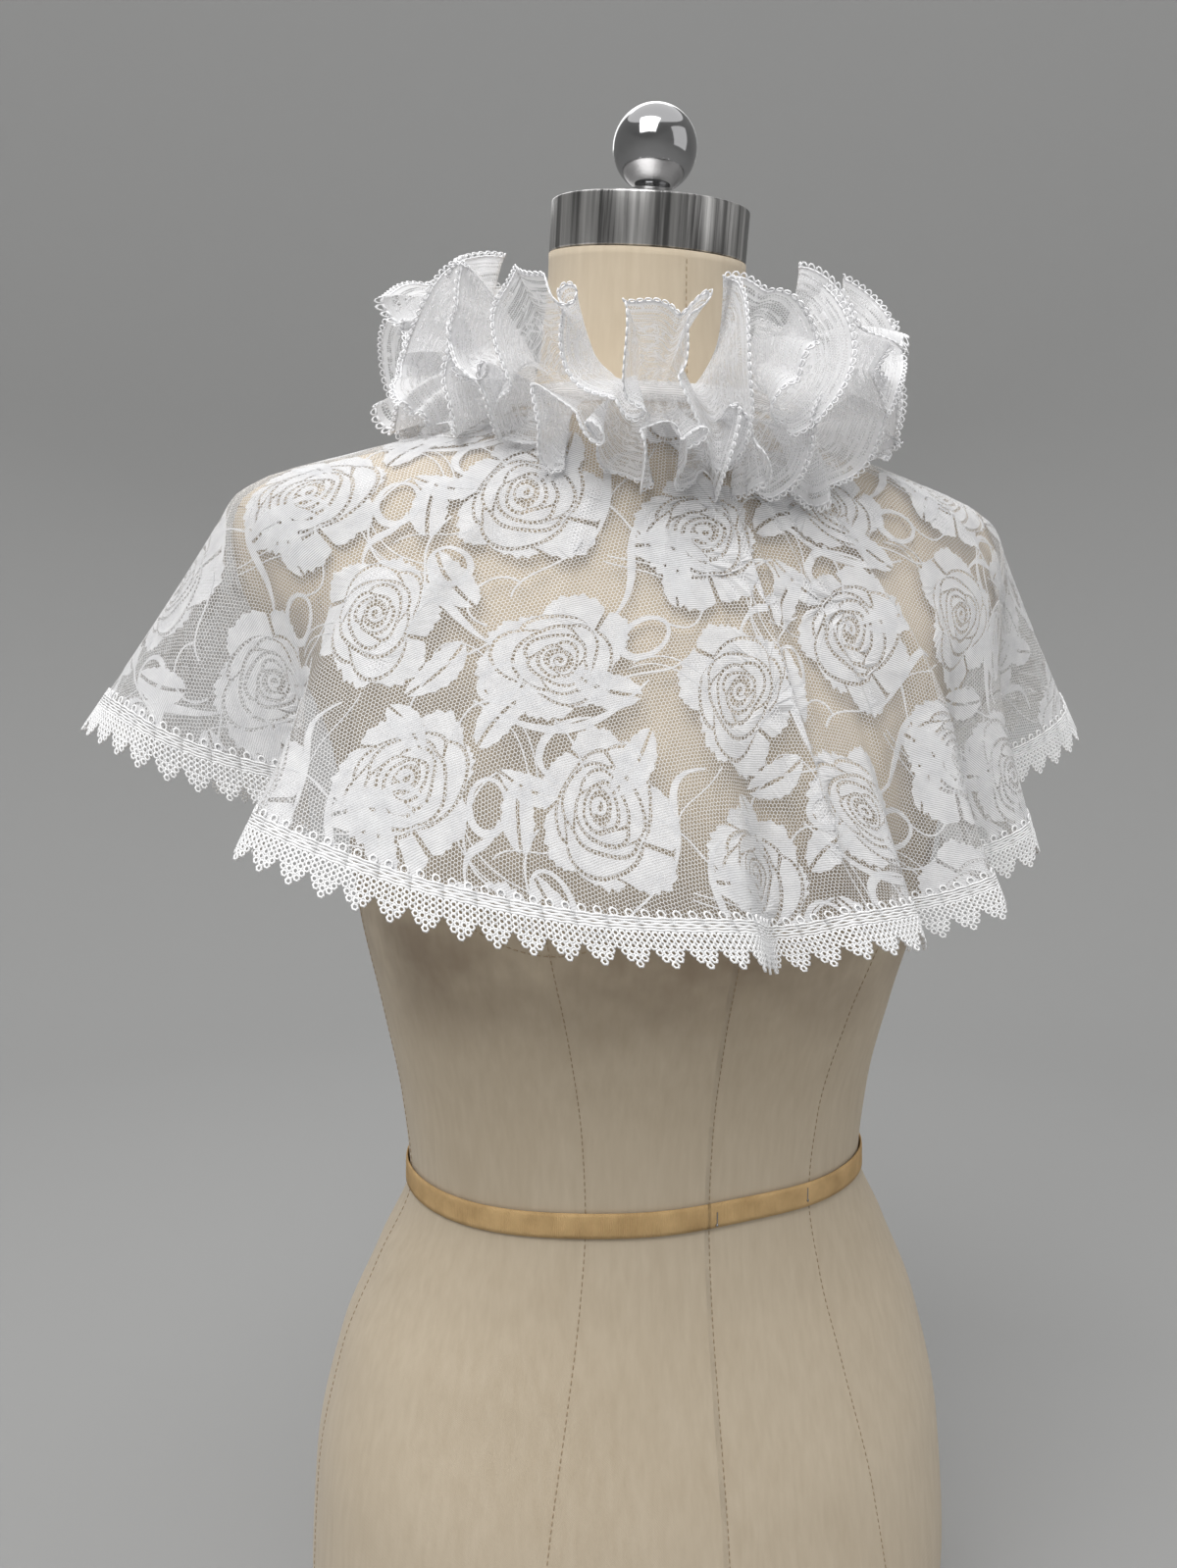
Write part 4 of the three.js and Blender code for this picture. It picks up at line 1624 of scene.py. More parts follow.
@dataclass
class Rose:
    """A rose of solid petals parted by narrow ladders of openwork round a coiled heart."""

    rings: tuple[Ring, ...]
    heart_turns: float
    squash: float
    heart_shift: tuple[float, float]
    gap: float = 1.6
    heart_reach: float = 4.6
    jag: float = 3.0
    jag_pitch: float = 4.4
    bar_pitch: float = 1.9
    bar_width: float = 0.55

    def outline(self, ring: Ring | None, angle: Array) -> Array:
        """Outer reach of a ring of petals.

        Args:
            ring: The ring, or None for the heart.
            angle: Directions in radians.

        Returns:
            The reach in each direction.
        """
        if ring is None:
            return self.heart_reach * (1 + 0.12 * np.cos(2 * angle))
        span = math.tau / ring.petals
        share = np.mod(angle - ring.spin, span) / span
        lobe = np.sin(math.pi * share) ** 0.55
        skew = 0.35 * (share - 0.5) * lobe
        sway = 0.11 * np.sin(2 * (angle - ring.spin) + ring.petals)
        size = 1 + sway + 0.07 * np.sin(3 * angle + 1)
        reach = ring.reach * (1 - ring.lobe + ring.lobe * (lobe + skew)) * size
        if ring is self.rings[-1]:
            teeth = np.mod(angle * ring.reach / self.jag_pitch + 0.4 * np.sin(5 * angle), 1.0)
            reach = reach + self.jag * (teeth - 0.4) * np.clip(lobe * 1.6 - 0.5, 0, 1)
        return reach

    def placed(self, radius: Array, angle: Array) -> Array:
        """Points of the rose with its heart shifted and its shape squashed.

        Args:
            radius: Distances from the heart.
            angle: Directions in radians.

        Returns:
            The points.
        """
        fade = 1 - np.clip(radius / self.rings[-1].reach, 0, 1)
        x = radius * np.cos(angle) + self.heart_shift[0] * fade
        y = (radius * np.sin(angle) + self.heart_shift[1] * fade) * self.squash
        return np.stack([x, y], axis=1)

    def draw(self, name: str) -> Piece:
        """The rose as a motif.

        Args:
            name: The motif's name.

        Returns:
            The motif.
        """
        pen = MotifPen()
        way = np.linspace(0, 1, 20)
        coil = 1.4 + way * (self.heart_reach - 2.3)
        pen.cord(self.placed(coil, way * math.tau * self.heart_turns), 1.5)
        before = None
        for number, ring in enumerate(self.rings):
            last = number == len(self.rings) - 1
            span = math.tau / ring.petals
            part = self.gap / (ring.reach * 0.8) / 2
            step = 1.7 if last else 2.9
            steps = max(7, int(span * ring.reach / step))
            way = np.linspace(part, span - part, steps)
            for petal in range(ring.petals):
                angle = ring.spin + petal * span + way
                inner = self.outline(before, angle - ring.slant) + self.gap
                outer = np.maximum(self.outline(ring, angle), inner + 0.6)
                pen.strip(self.placed(inner, angle - ring.slant), self.placed(outer, angle))
            self.bars(pen, before)
            before = ring
        return pen.build(name)

    def bars(self, pen: MotifPen, ring: Ring | None) -> None:
        """Draws the short threads across the openwork round a ring.

        Args:
            pen: The pen.
            ring: The ring inside the openwork, or None for the heart.
        """
        middle = self.heart_reach if ring is None else ring.reach * 0.9
        count = int(math.tau * middle / self.bar_pitch)
        half = self.bar_width / middle / 2
        for k in range(count):
            angle = np.array([-half, half]) + math.tau * k / count
            start = self.outline(ring, angle) - 0.3
            near = self.placed(start, angle)
            far = self.placed(start + self.gap + 0.6, angle)
            pen.patch(near[0], near[1], far[1], far[0])


class Sprig(NamedTuple):
    """A leaf, loop or tendril of the repeat: its place, turn and size."""

    x: float
    y: float
    turn: float
    size: float


@dataclass
class Foliage:
    """Split leaves, oval loops and thin tendrils that fill the ground between the roses."""

    leaf_length: float = 31.0
    leaf_width: float = 6.0
    rib_gap: float = 1.5
    tendril_width: float = 0.85
    ribbon_width: float = 2.5
    thread_width: float = 0.55
    leaves: tuple[Sprig, ...] = (
        Sprig(31, 4, 28, 1.0), Sprig(36, 46, 205, 0.95), Sprig(43, 60, 105, 1.0),
        Sprig(100, 6, 150, 1.0), Sprig(104, 70, -24, 1.1), Sprig(34, 98, 64, 0.95),
        Sprig(102, 128, 222, 1.0), Sprig(2, 32, -72, 0.8), Sprig(56, 112, 140, 0.8),
        Sprig(118, 40, 75, 0.85),
    )
    loops: tuple[Sprig, ...] = (
        Sprig(104, 30, 20, 1.05), Sprig(38, 82, 100, 0.95), Sprig(28, 118, 60, 1.05),
        Sprig(132, 62, -35, 0.95), Sprig(46, 26, 10, 0.9),
    )
    tendrils: tuple[tuple[float, ...], ...] = (
        (22, 10, 40, 34, 44, 8, 62, 12), (8, 26, 24, 50, 40, 34, 52, 48),
        (84, 8, 96, 24, 112, 6, 124, 22), (20, 88, 4, 104, 18, 124, 36, 128),
        (18, 60, 36, 74, 22, 92, 44, 104), (46, 50, 30, 62, 52, 78, 60, 66),
        (56, 60, 60, 72, 78, 66, 86, 78), (110, 36, 132, 20, 128, 48, 136, 62),
        (64, 0, 60, 14, 74, -10, 70, -24), (94, 96, 110, 84, 100, 72, 122, 66),
    )
    threads: tuple[tuple[float, ...], ...] = (
        (30, 8, 44, 20, 52, 2, 46, -22), (33, 8, 47, 22, 56, 4, 50, -20),
        (24, 46, 30, 52, 42, 44, 44, 32),
        (96, 18, 110, 22, 120, 10, 128, 4), (98, 20, 112, 25, 122, 14, 131, 8),
        (34, 78, 20, 88, 10, 98, 12, 118), (37, 80, 24, 90, 14, 100, 16, 120),
        (100, 88, 104, 100, 118, 98, 130, 110), (92, 66, 100, 60, 112, 58, 124, 44),
        (94, 68, 102, 63, 114, 61, 127, 48), (50, 96, 40, 92, 34, 104, 22, 100),
    )
    ribbons: tuple[tuple[float, ...], ...] = (
        (90, 40, 108, 50, 96, 76, 118, 84), (88, 74, 110, 92, 96, 112, 122, 110),
        (34, 22, 58, -8, 82, -4, 104, 12), (60, 116, 44, 128, 60, 142, 78, 138),
        (24, 66, 34, 76, 34, 54, 46, 42), (8, 96, 14, 112, 22, 100, 30, 112),
    )

    def leaf(self, pen: MotifPen, sprig: Sprig) -> None:
        """Draws both halves of a toothed leaf.

        Args:
            pen: The pen.
            sprig: The leaf's place.
        """
        steps = 14
        way = np.linspace(0, 1, steps)
        along = way * self.leaf_length
        belly = self.leaf_width * np.sin(math.pi * way ** 0.8) ** 0.8
        tooth = 0.5 * np.where(np.arange(steps) % 2, 1, -1) * np.sin(math.pi * way)
        bow = 2.4 * np.sin(math.pi * way)
        for hand in (-1, 1):
            rib = np.stack([along, bow + hand * self.rib_gap / 2], axis=1)
            rim = np.stack([along, bow + hand * (self.rib_gap / 2 + 0.35 + belly + tooth)], axis=1)
            first, second = (rib, rim) if hand < 0 else (rim, rib)
            pen.strip(self.set_down(first, sprig), self.set_down(second, sprig))

    def loop(self, pen: MotifPen, sprig: Sprig) -> None:
        """Draws an oval loop that is thicker at one end.

        Args:
            pen: The pen.
            sprig: The loop's place.
        """
        angle = round_turns(22)
        wide = 1.5 + 1.5 * (0.5 - 0.5 * np.cos(angle))
        inner = np.stack([8.4 * np.cos(angle), 6.2 * np.sin(angle)], axis=1)
        outer = np.stack([(8.4 + wide) * np.cos(angle), (6.2 + wide) * np.sin(angle)], axis=1)
        pen.strip(self.set_down(inner, sprig), self.set_down(outer, sprig), closed=True)

    @staticmethod
    def set_down(points: Array, sprig: Sprig) -> Array:
        """Points turned, sized and moved to their place in the repeat.

        Args:
            points: Points round the piece's own origin.
            sprig: Its place.

        Returns:
            The moved points.
        """
        turn = math.radians(sprig.turn)
        spin = np.array([[math.cos(turn), math.sin(turn)], [-math.sin(turn), math.cos(turn)]])
        return sprig.size * points @ spin + (sprig.x, sprig.y)

    def draw(self, name: str) -> Piece:
        """All foliage of one repeat as a motif.

        Args:
            name: The motif's name.

        Returns:
            The motif.
        """
        pen = MotifPen()
        for sprig in self.leaves:
            self.leaf(pen, sprig)
        for sprig in self.loops:
            self.loop(pen, sprig)
        way = np.linspace(0, 1, 18)[:, None]
        rest = 1 - way
        shares = (rest ** 3, 3 * way * rest ** 2, 3 * way ** 2 * rest, way ** 3)
        for row in (*self.tendrils, *self.threads, *self.ribbons):
            corners = np.array(row).reshape(4, 2)
            route = sum(share * corner for share, corner in zip(shares, corners))
            swell = self.ribbon_width * np.sin(math.pi * way) ** 1.4 if row in self.ribbons else 0.0
            width = self.thread_width if row in self.threads else self.tendril_width
            pen.cord(route, width + swell)
        return pen.build(name)


def points_object(name: str, places: Sequence[tuple[float, ...]]) -> Piece:
    """Loose points that carry a spin and a size.

    Args:
        name: The object's name.
        places: Rows of x, y, turn in degrees and size.

    Returns:
        The object.
    """
    table = np.array(places, float)
    made = make_object(name, np.column_stack([table[:, :2], np.zeros(len(table))]), [])
    set_numbers(made, "spin", np.radians(table[:, 2]))
    set_numbers(made, "size", table[:, 3])
    return made


class RosePlace(NamedTuple):
    """A rose of the repeat: its place, turn, size and which rose it is."""

    x: float
    y: float
    turn: float
    size: float
    kind: int


@dataclass
class RoseLace:
    """The solid motifs of the lace, laid over the net in a straight half-drop repeat."""

    drape: Drape
    drawn: float = 136.0
    repeat: float = 160.0
    origin: tuple[float, float] = (-18.0, 24.0)
    roses: tuple[RosePlace, ...] = (
        RosePlace(0, 0, 15, 1.0, 0), RosePlace(68, 30, 150, 0.94, 1),
        RosePlace(6, 70, -110, 0.96, 1), RosePlace(74, 102, 60, 1.03, 0),
    )
    kinds: tuple[Rose, ...] = (
        Rose((Ring(2, 8.6, 0.26, 0.5, 0.4), Ring(2, 13.2, 0.24, 0.45, 1.3),
              Ring(3, 18.2, 0.20, 0.35, 2.2), Ring(3, 23.6, 0.20, 0.3, 0.2),
              Ring(7, 31.5, 0.17, 0.14, 0.9)), 1.4, 0.82, (1.5, 3.4)),
        Rose((Ring(2, 8.4, 0.28, 0.5, 2.0), Ring(2, 13.0, 0.26, 0.45, 0.3),
              Ring(2, 17.6, 0.22, 0.4, 1.6), Ring(4, 23.0, 0.22, 0.3, 1.1),
              Ring(6, 31.0, 0.20, 0.12, 0.1)), 1.2, 0.86, (-3.2, 1.8)),
    )

    def cells(self) -> list[tuple[float, float]]:
        """Corners of the repeats that touch the cut, with every other column dropped.

        Returns:
            The corners.
        """
        reach = self.drape.inner_radius + self.drape.lace_length
        steps = range(-int(reach / self.repeat) - 2, int(reach / self.repeat) + 3)
        left, low = self.origin
        return [(left + i * self.repeat, low + (j + 0.5 * (i % 2)) * self.repeat)
                for i in steps for j in steps]

    def build(self, net: Piece, tree: GeometryGraph, finish: Finish) -> None:
        """Lays the roses and the foliage on the net.

        Args:
            net: The draped net.
            tree: The tree that carries flat motifs onto cloth.
            finish: The thread.
        """
        inner = self.drape.inner_radius * MM
        outer = (self.drape.inner_radius + self.drape.lace_length + 1) * MM
        settings = {"Cloth": net, "Inner": inner, "Outer": outer, "Finish": finish}
        cells = self.cells()
        grow = self.repeat / self.drawn
        parts = []
        for kind, rose in enumerate(self.kinds):
            motif = rose.draw(f"rose_{kind}")
            places = [(x + grow * r.x, y + grow * r.y, r.turn, grow * r.size)
                      for x, y in cells for r in self.roses if r.kind == kind]
            laid = points_object("rose_places", places)
            parts.append(tree.apply(laid, {**settings, "Motif": motif}))
            drop(motif)
        motif = Foliage().draw("foliage_repeat")
        leaves = points_object("lace_foliage", [(x, y, 0.0, grow) for x, y in cells])
        tree.apply(leaves, {**settings, "Motif": motif})
        drop(motif)
        for piece in (join("lace_roses", parts), leaves):
            dress(piece, finish)
            ride(piece)


@dataclass
class CordPen(Pen):
    """Draws small units of worked cord: rings and bars with a round section."""

    sides: int = 4

    def cord(self, route: Array, radius: float, closed: bool = False) -> None:
        """Adds a cord along a level route.

        Args:
            route: Points of its middle line, with x and y.
            radius: Its radius.
            closed: Whether it closes on itself.
        """
        ahead = np.gradient(route, axis=0)
        if closed:
            ahead = np.roll(route, -1, axis=0) - np.roll(route, 1, axis=0)
        ahead /= np.maximum(np.linalg.norm(ahead, axis=1, keepdims=True), 1e-9)
        start, count = len(self.points), len(route)
        for (x, y), (dx, dy) in zip(route, ahead):
            for k in range(self.sides):
                turn = math.tau * (k + 0.5) / self.sides
                aside, up = radius * math.cos(turn), radius * math.sin(turn)
                self.points.append((float(x - dy * aside), float(y + dx * aside), up))
        for i in range(count if closed else count - 1):
            j = (i + 1) % count
            for k in range(self.sides):
                m = (k + 1) % self.sides
                a, b = start + i * self.sides, start + j * self.sides
                self.faces.append((a + k, a + m, b + m, b + k))
        if not closed:
            last = start + (count - 1) * self.sides
            self.faces.append(tuple(start + k for k in reversed(range(self.sides))))
            self.faces.append(tuple(last + k for k in range(self.sides)))

    def ring(self, x: float, y: float, radius: float, cord: float, steps: int = 9) -> None:
        """Adds a small ring.

        Args:
            x: Its middle.
            y: Its middle.
            radius: Its radius to the cord's middle.
            cord: The cord's radius.
            steps: Corners round it.
        """
        angle = round_turns(steps)
        route = np.stack([x + radius * np.cos(angle), y + radius * np.sin(angle)], axis=1)
        self.cord(route, cord, closed=True)


@dataclass
class Border:
    """Small worked units, one after another along a closed strip of hanging cloth."""

    name: str
    grid: Array
    depths: Array
    length: float
    count: int
    lift: float = 0.0

    def strip(self) -> Piece:
        """The strip, cut open at its first column.

        Returns:
            The helper object.
        """
        normals = ring_normals(self.grid)
        wrap = [*range(self.grid.shape[1]), 0]
        faces = grid_faces(len(self.depths), len(wrap), False)
        made = make_object("strip", (self.grid + normals * self.lift)[:, wrap], faces)
        set_flat(made, ring_shares(self.grid) * self.length, self.depths[:, None])
        set_vectors(made, "outward", normals[:, wrap])
        return made

    def build(self, unit: Piece, tree: GeometryGraph,
              finish: Finish) -> Piece:
        """Lays the units along the strip.

        Args:
            unit: One unit, which is used up.
            tree: The tree that carries flat motifs onto cloth.
            finish: The thread.

        Returns:
            The piece.
        """
        strip = self.strip()
        pitch = self.length / self.count
        made = points_object(self.name, [(k * pitch, 0.0, 0.0, 1.0) for k in range(self.count)])
        tree.apply(made, {
            "Motif": unit, "Cloth": strip, "Inner": -1.0, "Outer": 10.0, "Finish": finish,
        })
        drop(unit, strip)
        dress(made, finish)
        return made


@dataclass
class Edging:
    """The guipure edging: one worked point after another along the hem."""

    drape: Drape
    count: int = 136
    top: float = 245.5
    lift: float = 0.7
    cord: float = 0.62
    header: tuple[tuple[float, float], ...] = (
        (3.3, 0.2), (4.5, 0.12), (5.7, -0.2), (6.9, 0.12), (8.1, 0.2),
    )
    rings: tuple[int, ...] = (5, 5, 5, 4, 3, 1)
    first_ring: float = 10.0
    ring_step: float = 2.4
    ring_radius: float = 1.22

    def unit(self, pitch: float) -> Piece:
        """One point with its share of the header; y runs from 0 at the top down to the tip.

        Args:
            pitch: Its width.

        Returns:
            The unit.
        """
        pen = CordPen()
        for share in (0.25, 0.75):
            pen.ring(pitch * share, 1.6, 1.7, self.cord * 0.85, 7)
        way = np.linspace(0, 1, 5)
        for level, swell in self.header:
            route = np.stack([way * pitch, level + swell * np.cos(way * 2 * math.tau)], axis=1)
            pen.cord(route, self.cord)
        step = pitch / 5
        for row, rings in enumerate(self.rings):
            for k in range(rings):
                x = pitch / 2 + (k - (rings - 1) / 2) * step
                y = self.first_ring + row * self.ring_step
                pen.ring(x, y, self.ring_radius, self.cord * 0.92, 6)
        return pen.build("edging_unit")

    def build(self, tree: GeometryGraph, finish: Finish) -> None:
        """Makes the whole edging.

        Args:
            tree: The tree that carries flat motifs onto cloth.
            finish: The cotton.
        """
        end = self.drape.lace_length + self.drape.edging_depth + 4
        distances = np.linspace(self.top - 3, end, 14)
        grid = self.drape.grid(distances)
        length = loop_length(grid[7])
        border = Border("guipure_edging", grid, distances - self.top, length, self.count, self.lift)
        made = border.build(self.unit(length / self.count), tree, finish)
        ride(made, ["hem_trim"])


# ---- collar -------------------------------------------------------------------------------

@dataclass
class Frill:
    """One gathered frill of the collar."""

    name: str
    node: str
    drape: Drape
    width: float
    waves: int
    amplitude: float
    swing: float
    lift: float
    risers: tuple[Riser, ...]
    roll: float = 0.5
    curl: float = 0.85
    band_lift: float = 3.0
    clearance: float = 7.5
    stand_off: float = 5.2
    steps: int = 60
    rows: int = 30
    picot_pitch: float = 3.7
    gathered_edge: float = 860.0
    cut_share: float = 0.86
    doubling: float = 6.0
    gathers: float = 9.0
    ruffle: float = 5.6
    crimp: float = 3.2

    def riser(self, turn: Array) -> Array:
        """How steeply the frill stands, in radians."""
        return np.radians(SteadyCurve(*zip(*self.risers), 360.0)(np.degrees(turn)))

    def surface(self, turn: Array, share: Array) -> Array:
        """Points of the frill.

        Args:
            turn: Turns in radians.
            share: 0 at the seam, 1 at the free edge.

        Returns:
            The points.
        """
        phase = turn * self.waves + 0.6 * np.sin(2 * turn + 1) + 0.4 * np.sin(5 * turn)
        size = 1 + 0.2 * np.sin(3 * turn + self.waves) + 0.14 * np.sin(5 * turn - self.waves)
        early = share * np.exp(-3.2 * share)
        ripple = np.clip(share - 0.2, 0, None)
        wave = self.amplitude * size * np.sin(phase) * share ** 0.85
        wave = wave + self.doubling * share * np.sin(2 * phase + 1.1 + 1.3 * np.sin(3 * turn))
        wave = wave + self.gathers * early * np.sin(5 * phase + 0.9 * np.sin(2 * turn))
        wave = wave + self.ruffle * ripple * np.sin(3 * phase + 2.0 * np.sin(turn * 4 + 1.0))
        wave = wave + self.crimp * ripple * np.sin(7 * phase + 2.6 * np.sin(turn * 5))
        swing = -math.radians(self.swing) * np.sin(2 * phase) * share
        swing = swing + math.radians(1.5) * ripple * np.sin(6 * phase + 1.7 * np.sin(3 * turn))
        nod = 0.25 * np.sin(phase + 2.0 * np.sin(3 * turn)) + 0.1 * np.sin(2 * phase + 1)
        riser = self.riser(turn) + nod * share
        curl = -self.roll + self.curl * np.sin(phase + 0.9 + 0.8 * np.sin(3 * turn))
        curl = curl + 0.35 * np.sin(2 * phase + 1.9 * np.sin(4 * turn))
        curl = np.where(np.abs(curl) < 0.02, 0.02, curl)
        first = riser - 0.35 * curl
        aim = first + curl * share
        out = (np.sin(aim) - np.sin(first)) / curl
        rise = (np.cos(first) - np.cos(aim)) / curl
        seam = self.drape.seam_level(turn)
        start = self.drape.form.radius(seam + self.band_lift, turn) + self.stand_off
        radius = start + self.width * out - wave * np.sin(aim)
        height = seam + self.lift + self.width * rise + wave * np.cos(aim)
        return around(*self.laid_on(radius, turn + swing, height))

    def laid_on(self, radius: Array, turn: Array, height: Array) -> tuple[Array, Array, Array]:
        """Points moved off the cape where they would sink into it.

        Args:
            radius: Their distance from the middle.
            turn: Their turns.
            height: Their heights.

        Returns:
            The same three, with each point at least `clearance` outside the form.
        """
        form = self.drape.form
        for _ in range(3):
            slope = (form.radius(height + 1, turn) - form.radius(height - 1, turn)) / 2
            steep = np.sqrt(1 + slope ** 2)
            short = np.clip(self.clearance - (radius - form.radius(height, turn)) / steep, 0, None)
            radius = radius + short / steep
            height = height - short * slope / steep
        return radius, turn, height

    def grid(self, shares: Array) -> Array:
        """Rows of the frill from its edge, or its seam, to the other."""
        return self.surface(round_turns(self.waves * self.steps)[None, :], shares[:, None])

    def build(self, tree: GeometryGraph, lace: Finish, thread: Finish) -> None:
        """Makes the frill and its picot edge.

        Args:
            tree: The tree that carries flat motifs onto cloth.
            lace: The frill's lace.
            thread: The picots' thread.
        """
        shares = np.linspace(1, 0, self.rows)
        grid = self.grid(shares)
        made = make_object(self.name, grid, grid_faces(self.rows, grid.shape[1], True))
        lengths = [loop_length(row) for row in grid]
        depths = (1 - shares) * self.width
        set_flat(made, ring_shares(grid)[:, :-1] * lengths[0], depths[:, None])
        dress(made, lace)
        picots = self.picots(tree, lengths[0], thread)
        ride(made, [self.node])

    def picots(self, tree: GeometryGraph, edge: float, thread: Finish) -> Piece:
        """Tiny loops and an edge cord along the free edge.

        Args:
            tree: The tree that carries flat motifs onto cloth.
            edge: Length of the edge.
            thread: Their thread.

        Returns:
            The piece.
        """
        shares = np.linspace(1.07, 0.93, 6)
        count = int(edge / self.picot_pitch)
        pitch = edge / count
        pen = CordPen()
        way = np.linspace(0, math.pi, 6)
        arch = np.stack([pitch / 2 - pitch * 0.42 * np.cos(way), -2.0 * np.sin(way)], axis=1)
        pen.cord(arch, 0.42)
        pen.cord(np.array([[0.0, 0.1], [pitch / 2, 0.25], [pitch, 0.1]]), 0.55)
        depths = (1 - shares) * self.width
        border = Border(f"{self.name}_picots", self.grid(shares), depths, edge, count)
        made = border.build(pen.build("picot_unit"), tree, thread)
        ride(made)
        return made


@dataclass
class NeckBand:
    """Narrow band that covers the gathers on the neck."""

    drape: Drape
    height: float = 9.0
    thickness: float = 1.1
    stand_off: float = 2.2
    lift: float = 3.0
    columns: int = 240
    rows: int = 5
    puckers: int = 70
    flat_radius: float = 66.0
    cut_metres: float = 0.43
    wrapped: float = 2.0

    def build(self, finish: Finish) -> None:
        """Makes the band.

        Args:
            finish: Its lace.
        """
        turns = round_turns(self.columns)[None, :]
        bottom = self.drape.seam_level(turns) + self.lift
        rows = np.linspace(self.height, 0, self.rows)[:, None]
        reach = self.drape.form.radius(bottom, turns) + self.stand_off
        swell = np.sin(np.linspace(0, math.pi, self.rows))[:, None]
        puckers = 0.25 * np.sin(self.puckers * turns) * swell
        grid = around(reach + puckers, turns, bottom + rows)
        made = make_object("neck_ribbon", grid, grid_faces(self.rows, self.columns, True))
        set_flat(made, turns * self.flat_radius, rows)
        thicken(made, self.thickness)
        dress(made, finish)
        ride(made, ["neckband"])


# ---- studio -------------------------------------------------------------------------------

class Lamp(NamedTuple):
    """A soft area light: its place, size and power."""

    name: str
    place: tuple[float, float, float]
    size: float
    power: float


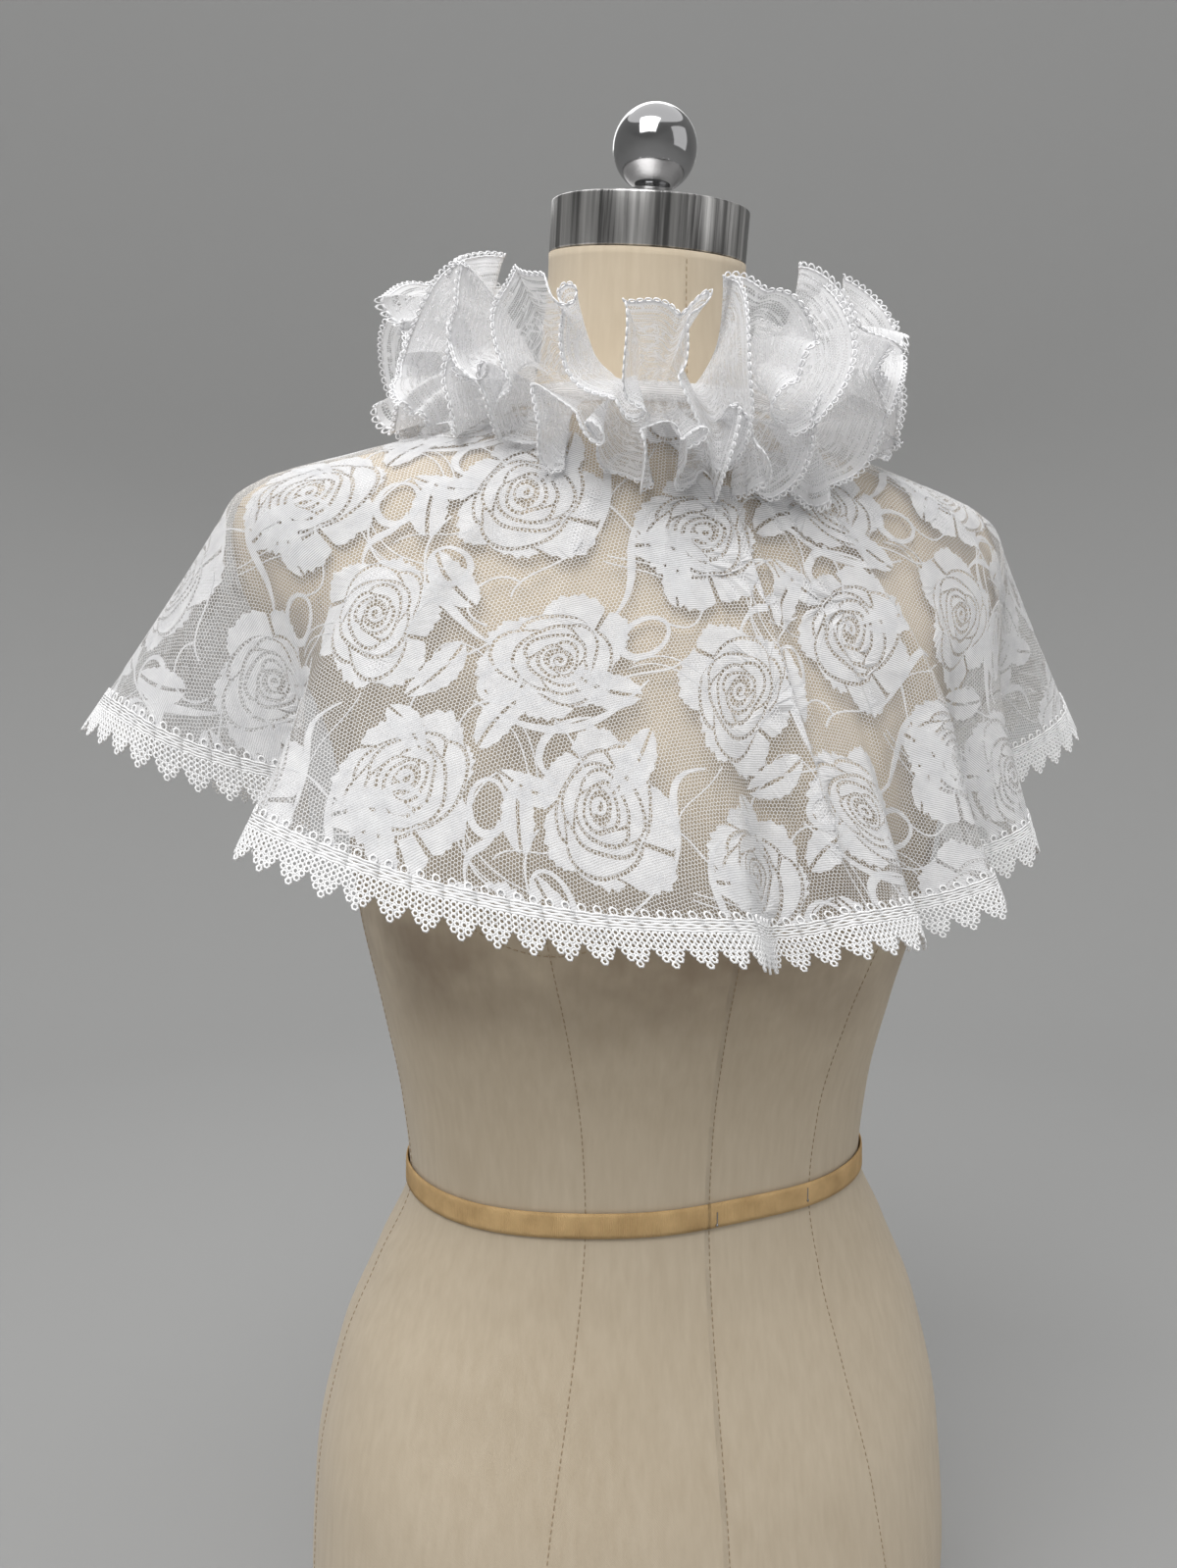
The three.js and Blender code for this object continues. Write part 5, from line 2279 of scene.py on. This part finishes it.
@dataclass
class Studio:
    """Pale round floor that sweeps up all round, soft light and the camera."""

    azimuth: float = -22.0
    distance: float = 695.8
    eye_height: float = 561.2
    pitch: float = 5.15
    yaw: float = 2.3
    roll: float = 0.33
    lens: float = 30.38
    sensor: float = 36.0
    aim_height: float = 0.6
    floor_reach: float = 1300.0
    sweep: float = 1100.0
    wall_top: float = 3400.0
    exposure: float = 0.0
    floor_level: float = -0.6
    floor_sides: int = 96
    floor_color: Color = (0.345, 0.345, 0.342, 1)
    room_light: float = 1.2
    lamps: tuple[Lamp, ...] = (
        Lamp("key", (-0.95, -1.05, 2.15), 1.5, 38.0),
        Lamp("fill", (1.3, -1.1, 1.3), 1.4, 5.0),
        Lamp("back", (0.3, 1.4, 1.9), 1.2, 8.0),
    )

    def camera(self) -> None:
        """Makes the camera at the viewing angle."""
        data = bpy.data.cameras.new("camera")
        data.lens = self.lens
        data.sensor_width = self.sensor
        made = link_new("camera", data)
        turn = math.radians(self.azimuth)
        heading = math.atan2(-math.sin(turn), math.cos(turn)) - math.radians(self.yaw)
        spin = Matrix.Rotation(-heading, 4, "Z")
        tilt = Matrix.Rotation(math.pi / 2 - math.radians(self.pitch), 4, "X")
        roll = Matrix.Rotation(math.radians(self.roll), 4, "Z")
        flat = Vector((math.sin(turn), -math.cos(turn), 0)) * self.distance
        place = (flat + Vector((0, 0, self.eye_height))) * MM
        made.matrix_world = Matrix.Translation(place) @ spin @ tilt @ roll
        bpy.context.scene.camera = made

    def lights(self) -> None:
        """Makes the area lights."""
        for lamp in self.lamps:
            data = bpy.data.lights.new(lamp.name, "AREA")
            data.size = lamp.size
            data.energy = lamp.power
            made = link_new(lamp.name, data)
            made.location = lamp.place
            aim = Vector((0, 0, self.aim_height)) - made.location
            made.rotation_euler = aim.to_track_quat("-Z", "Y").to_euler()

    def floor(self) -> None:
        """Makes the floor and its sweep."""
        graph = ShaderGraph("floor")
        finish = graph.finish(graph.surface(self.floor_color, 0.9))
        angles = np.linspace(0, math.pi / 2, 17)
        low, sides = self.floor_level, self.floor_sides
        reaches = [40.0, self.floor_reach * 0.5, *(self.floor_reach + self.sweep * np.sin(angles))]
        levels = [low, low, *(low + self.sweep * (1 - np.cos(angles))), self.wall_top]
        radii = np.array([*reaches, reaches[-1]])[:, None]
        grid = around(radii, round_turns(sides)[None, :], np.array(levels)[:, None])
        faces = grid_faces(len(levels), sides, True)
        faces += [(c, (c + 1) % sides, grid[..., 0].size) for c in range(sides)]
        points = np.concatenate([grid.reshape(-1, 3), [[0, 0, low]]])
        made = make_object("floor", points, faces)
        dress(made, finish)

    def world(self) -> None:
        """Soft room light from above."""
        world = bpy.data.worlds.new("studio")
        bpy.context.scene.world = world
        world.use_nodes = True
        shade = world.node_tree.nodes["Background"]
        shade.inputs["Color"].default_value = (1.0, 1.0, 1.0, 1)
        shade.inputs["Strength"].default_value = self.room_light
        bpy.context.scene.view_settings.view_transform = "Standard"
        bpy.context.scene.view_settings.exposure = self.exposure
        bpy.context.scene.cycles.transparent_max_bounces = 24

    def build(self) -> None:
        """Makes the whole studio."""
        self.camera()
        self.lights()
        self.floor()
        self.world()


# ---- the whole object ---------------------------------------------------------------------


def main() -> None:
    """Builds the studio, the form and the capelet in order."""
    logging.basicConfig(level=logging.INFO, format="%(message)s")
    Studio().build()
    form = DressForm()
    form.cover(Linen().build())
    seam_thread = Thread(
        "seam_thread", color=(0.40, 0.30, 0.19, 1), shade=(0.32, 0.23, 0.14, 1), glow=0.0)
    FormSeams(form).build(seam_thread.build())
    steel = Metal("brushed_steel", (0.64, 0.63, 0.62, 1), 0.24, 1.0).build()
    chrome = Metal("polished_chrome", (0.36, 0.36, 0.365, 1), 0.04, 0.0).build()
    NeckHardware(form).build(steel, chrome)
    WaistTape(form).build(Twill().build(), chrome)

    drape = Drape(form)
    tree = appliance_tree()
    net = LaceNet(drape).build(HexNet("lace_net_ground").build())
    RoseLace(drape).build(net, tree, Thread("motif_thread", cover=0.8).build())
    cotton = Thread(
        "guipure_cotton", color=(0.98, 0.98, 0.98, 1), shade=(0.88, 0.88, 0.89, 1), glow=0.0)
    Edging(drape).build(tree, cotton.build())

    silk = HexNet(
        "silky_frill_net", pitch=1.5, streaks=0.84, sprigs=0.86, haze=0.13, sheen=0.4,
        edge_band=3.2,
    ).build()
    picot = Thread(
        "picot_thread", color=(0.99, 0.99, 1.0, 1), shade=(0.9, 0.9, 0.92, 1), glow=0.0).build()
    NeckBand(drape).build(Thread("neck_lace", cover=0.8).build())
    upper = Frill("collar_upper", "upper_frill", drape, 66.0, 14, 18.0, 4.5, 9.0, UPPER_RISERS)
    lower = Frill("collar_lower", "lower_frill", drape, 58.0, 16, 15.0, 3.6, 4.5, LOWER_RISERS)
    for frill in (upper, lower):
        frill.build(tree, silk, picot)


if __name__ == "__main__":
    main()
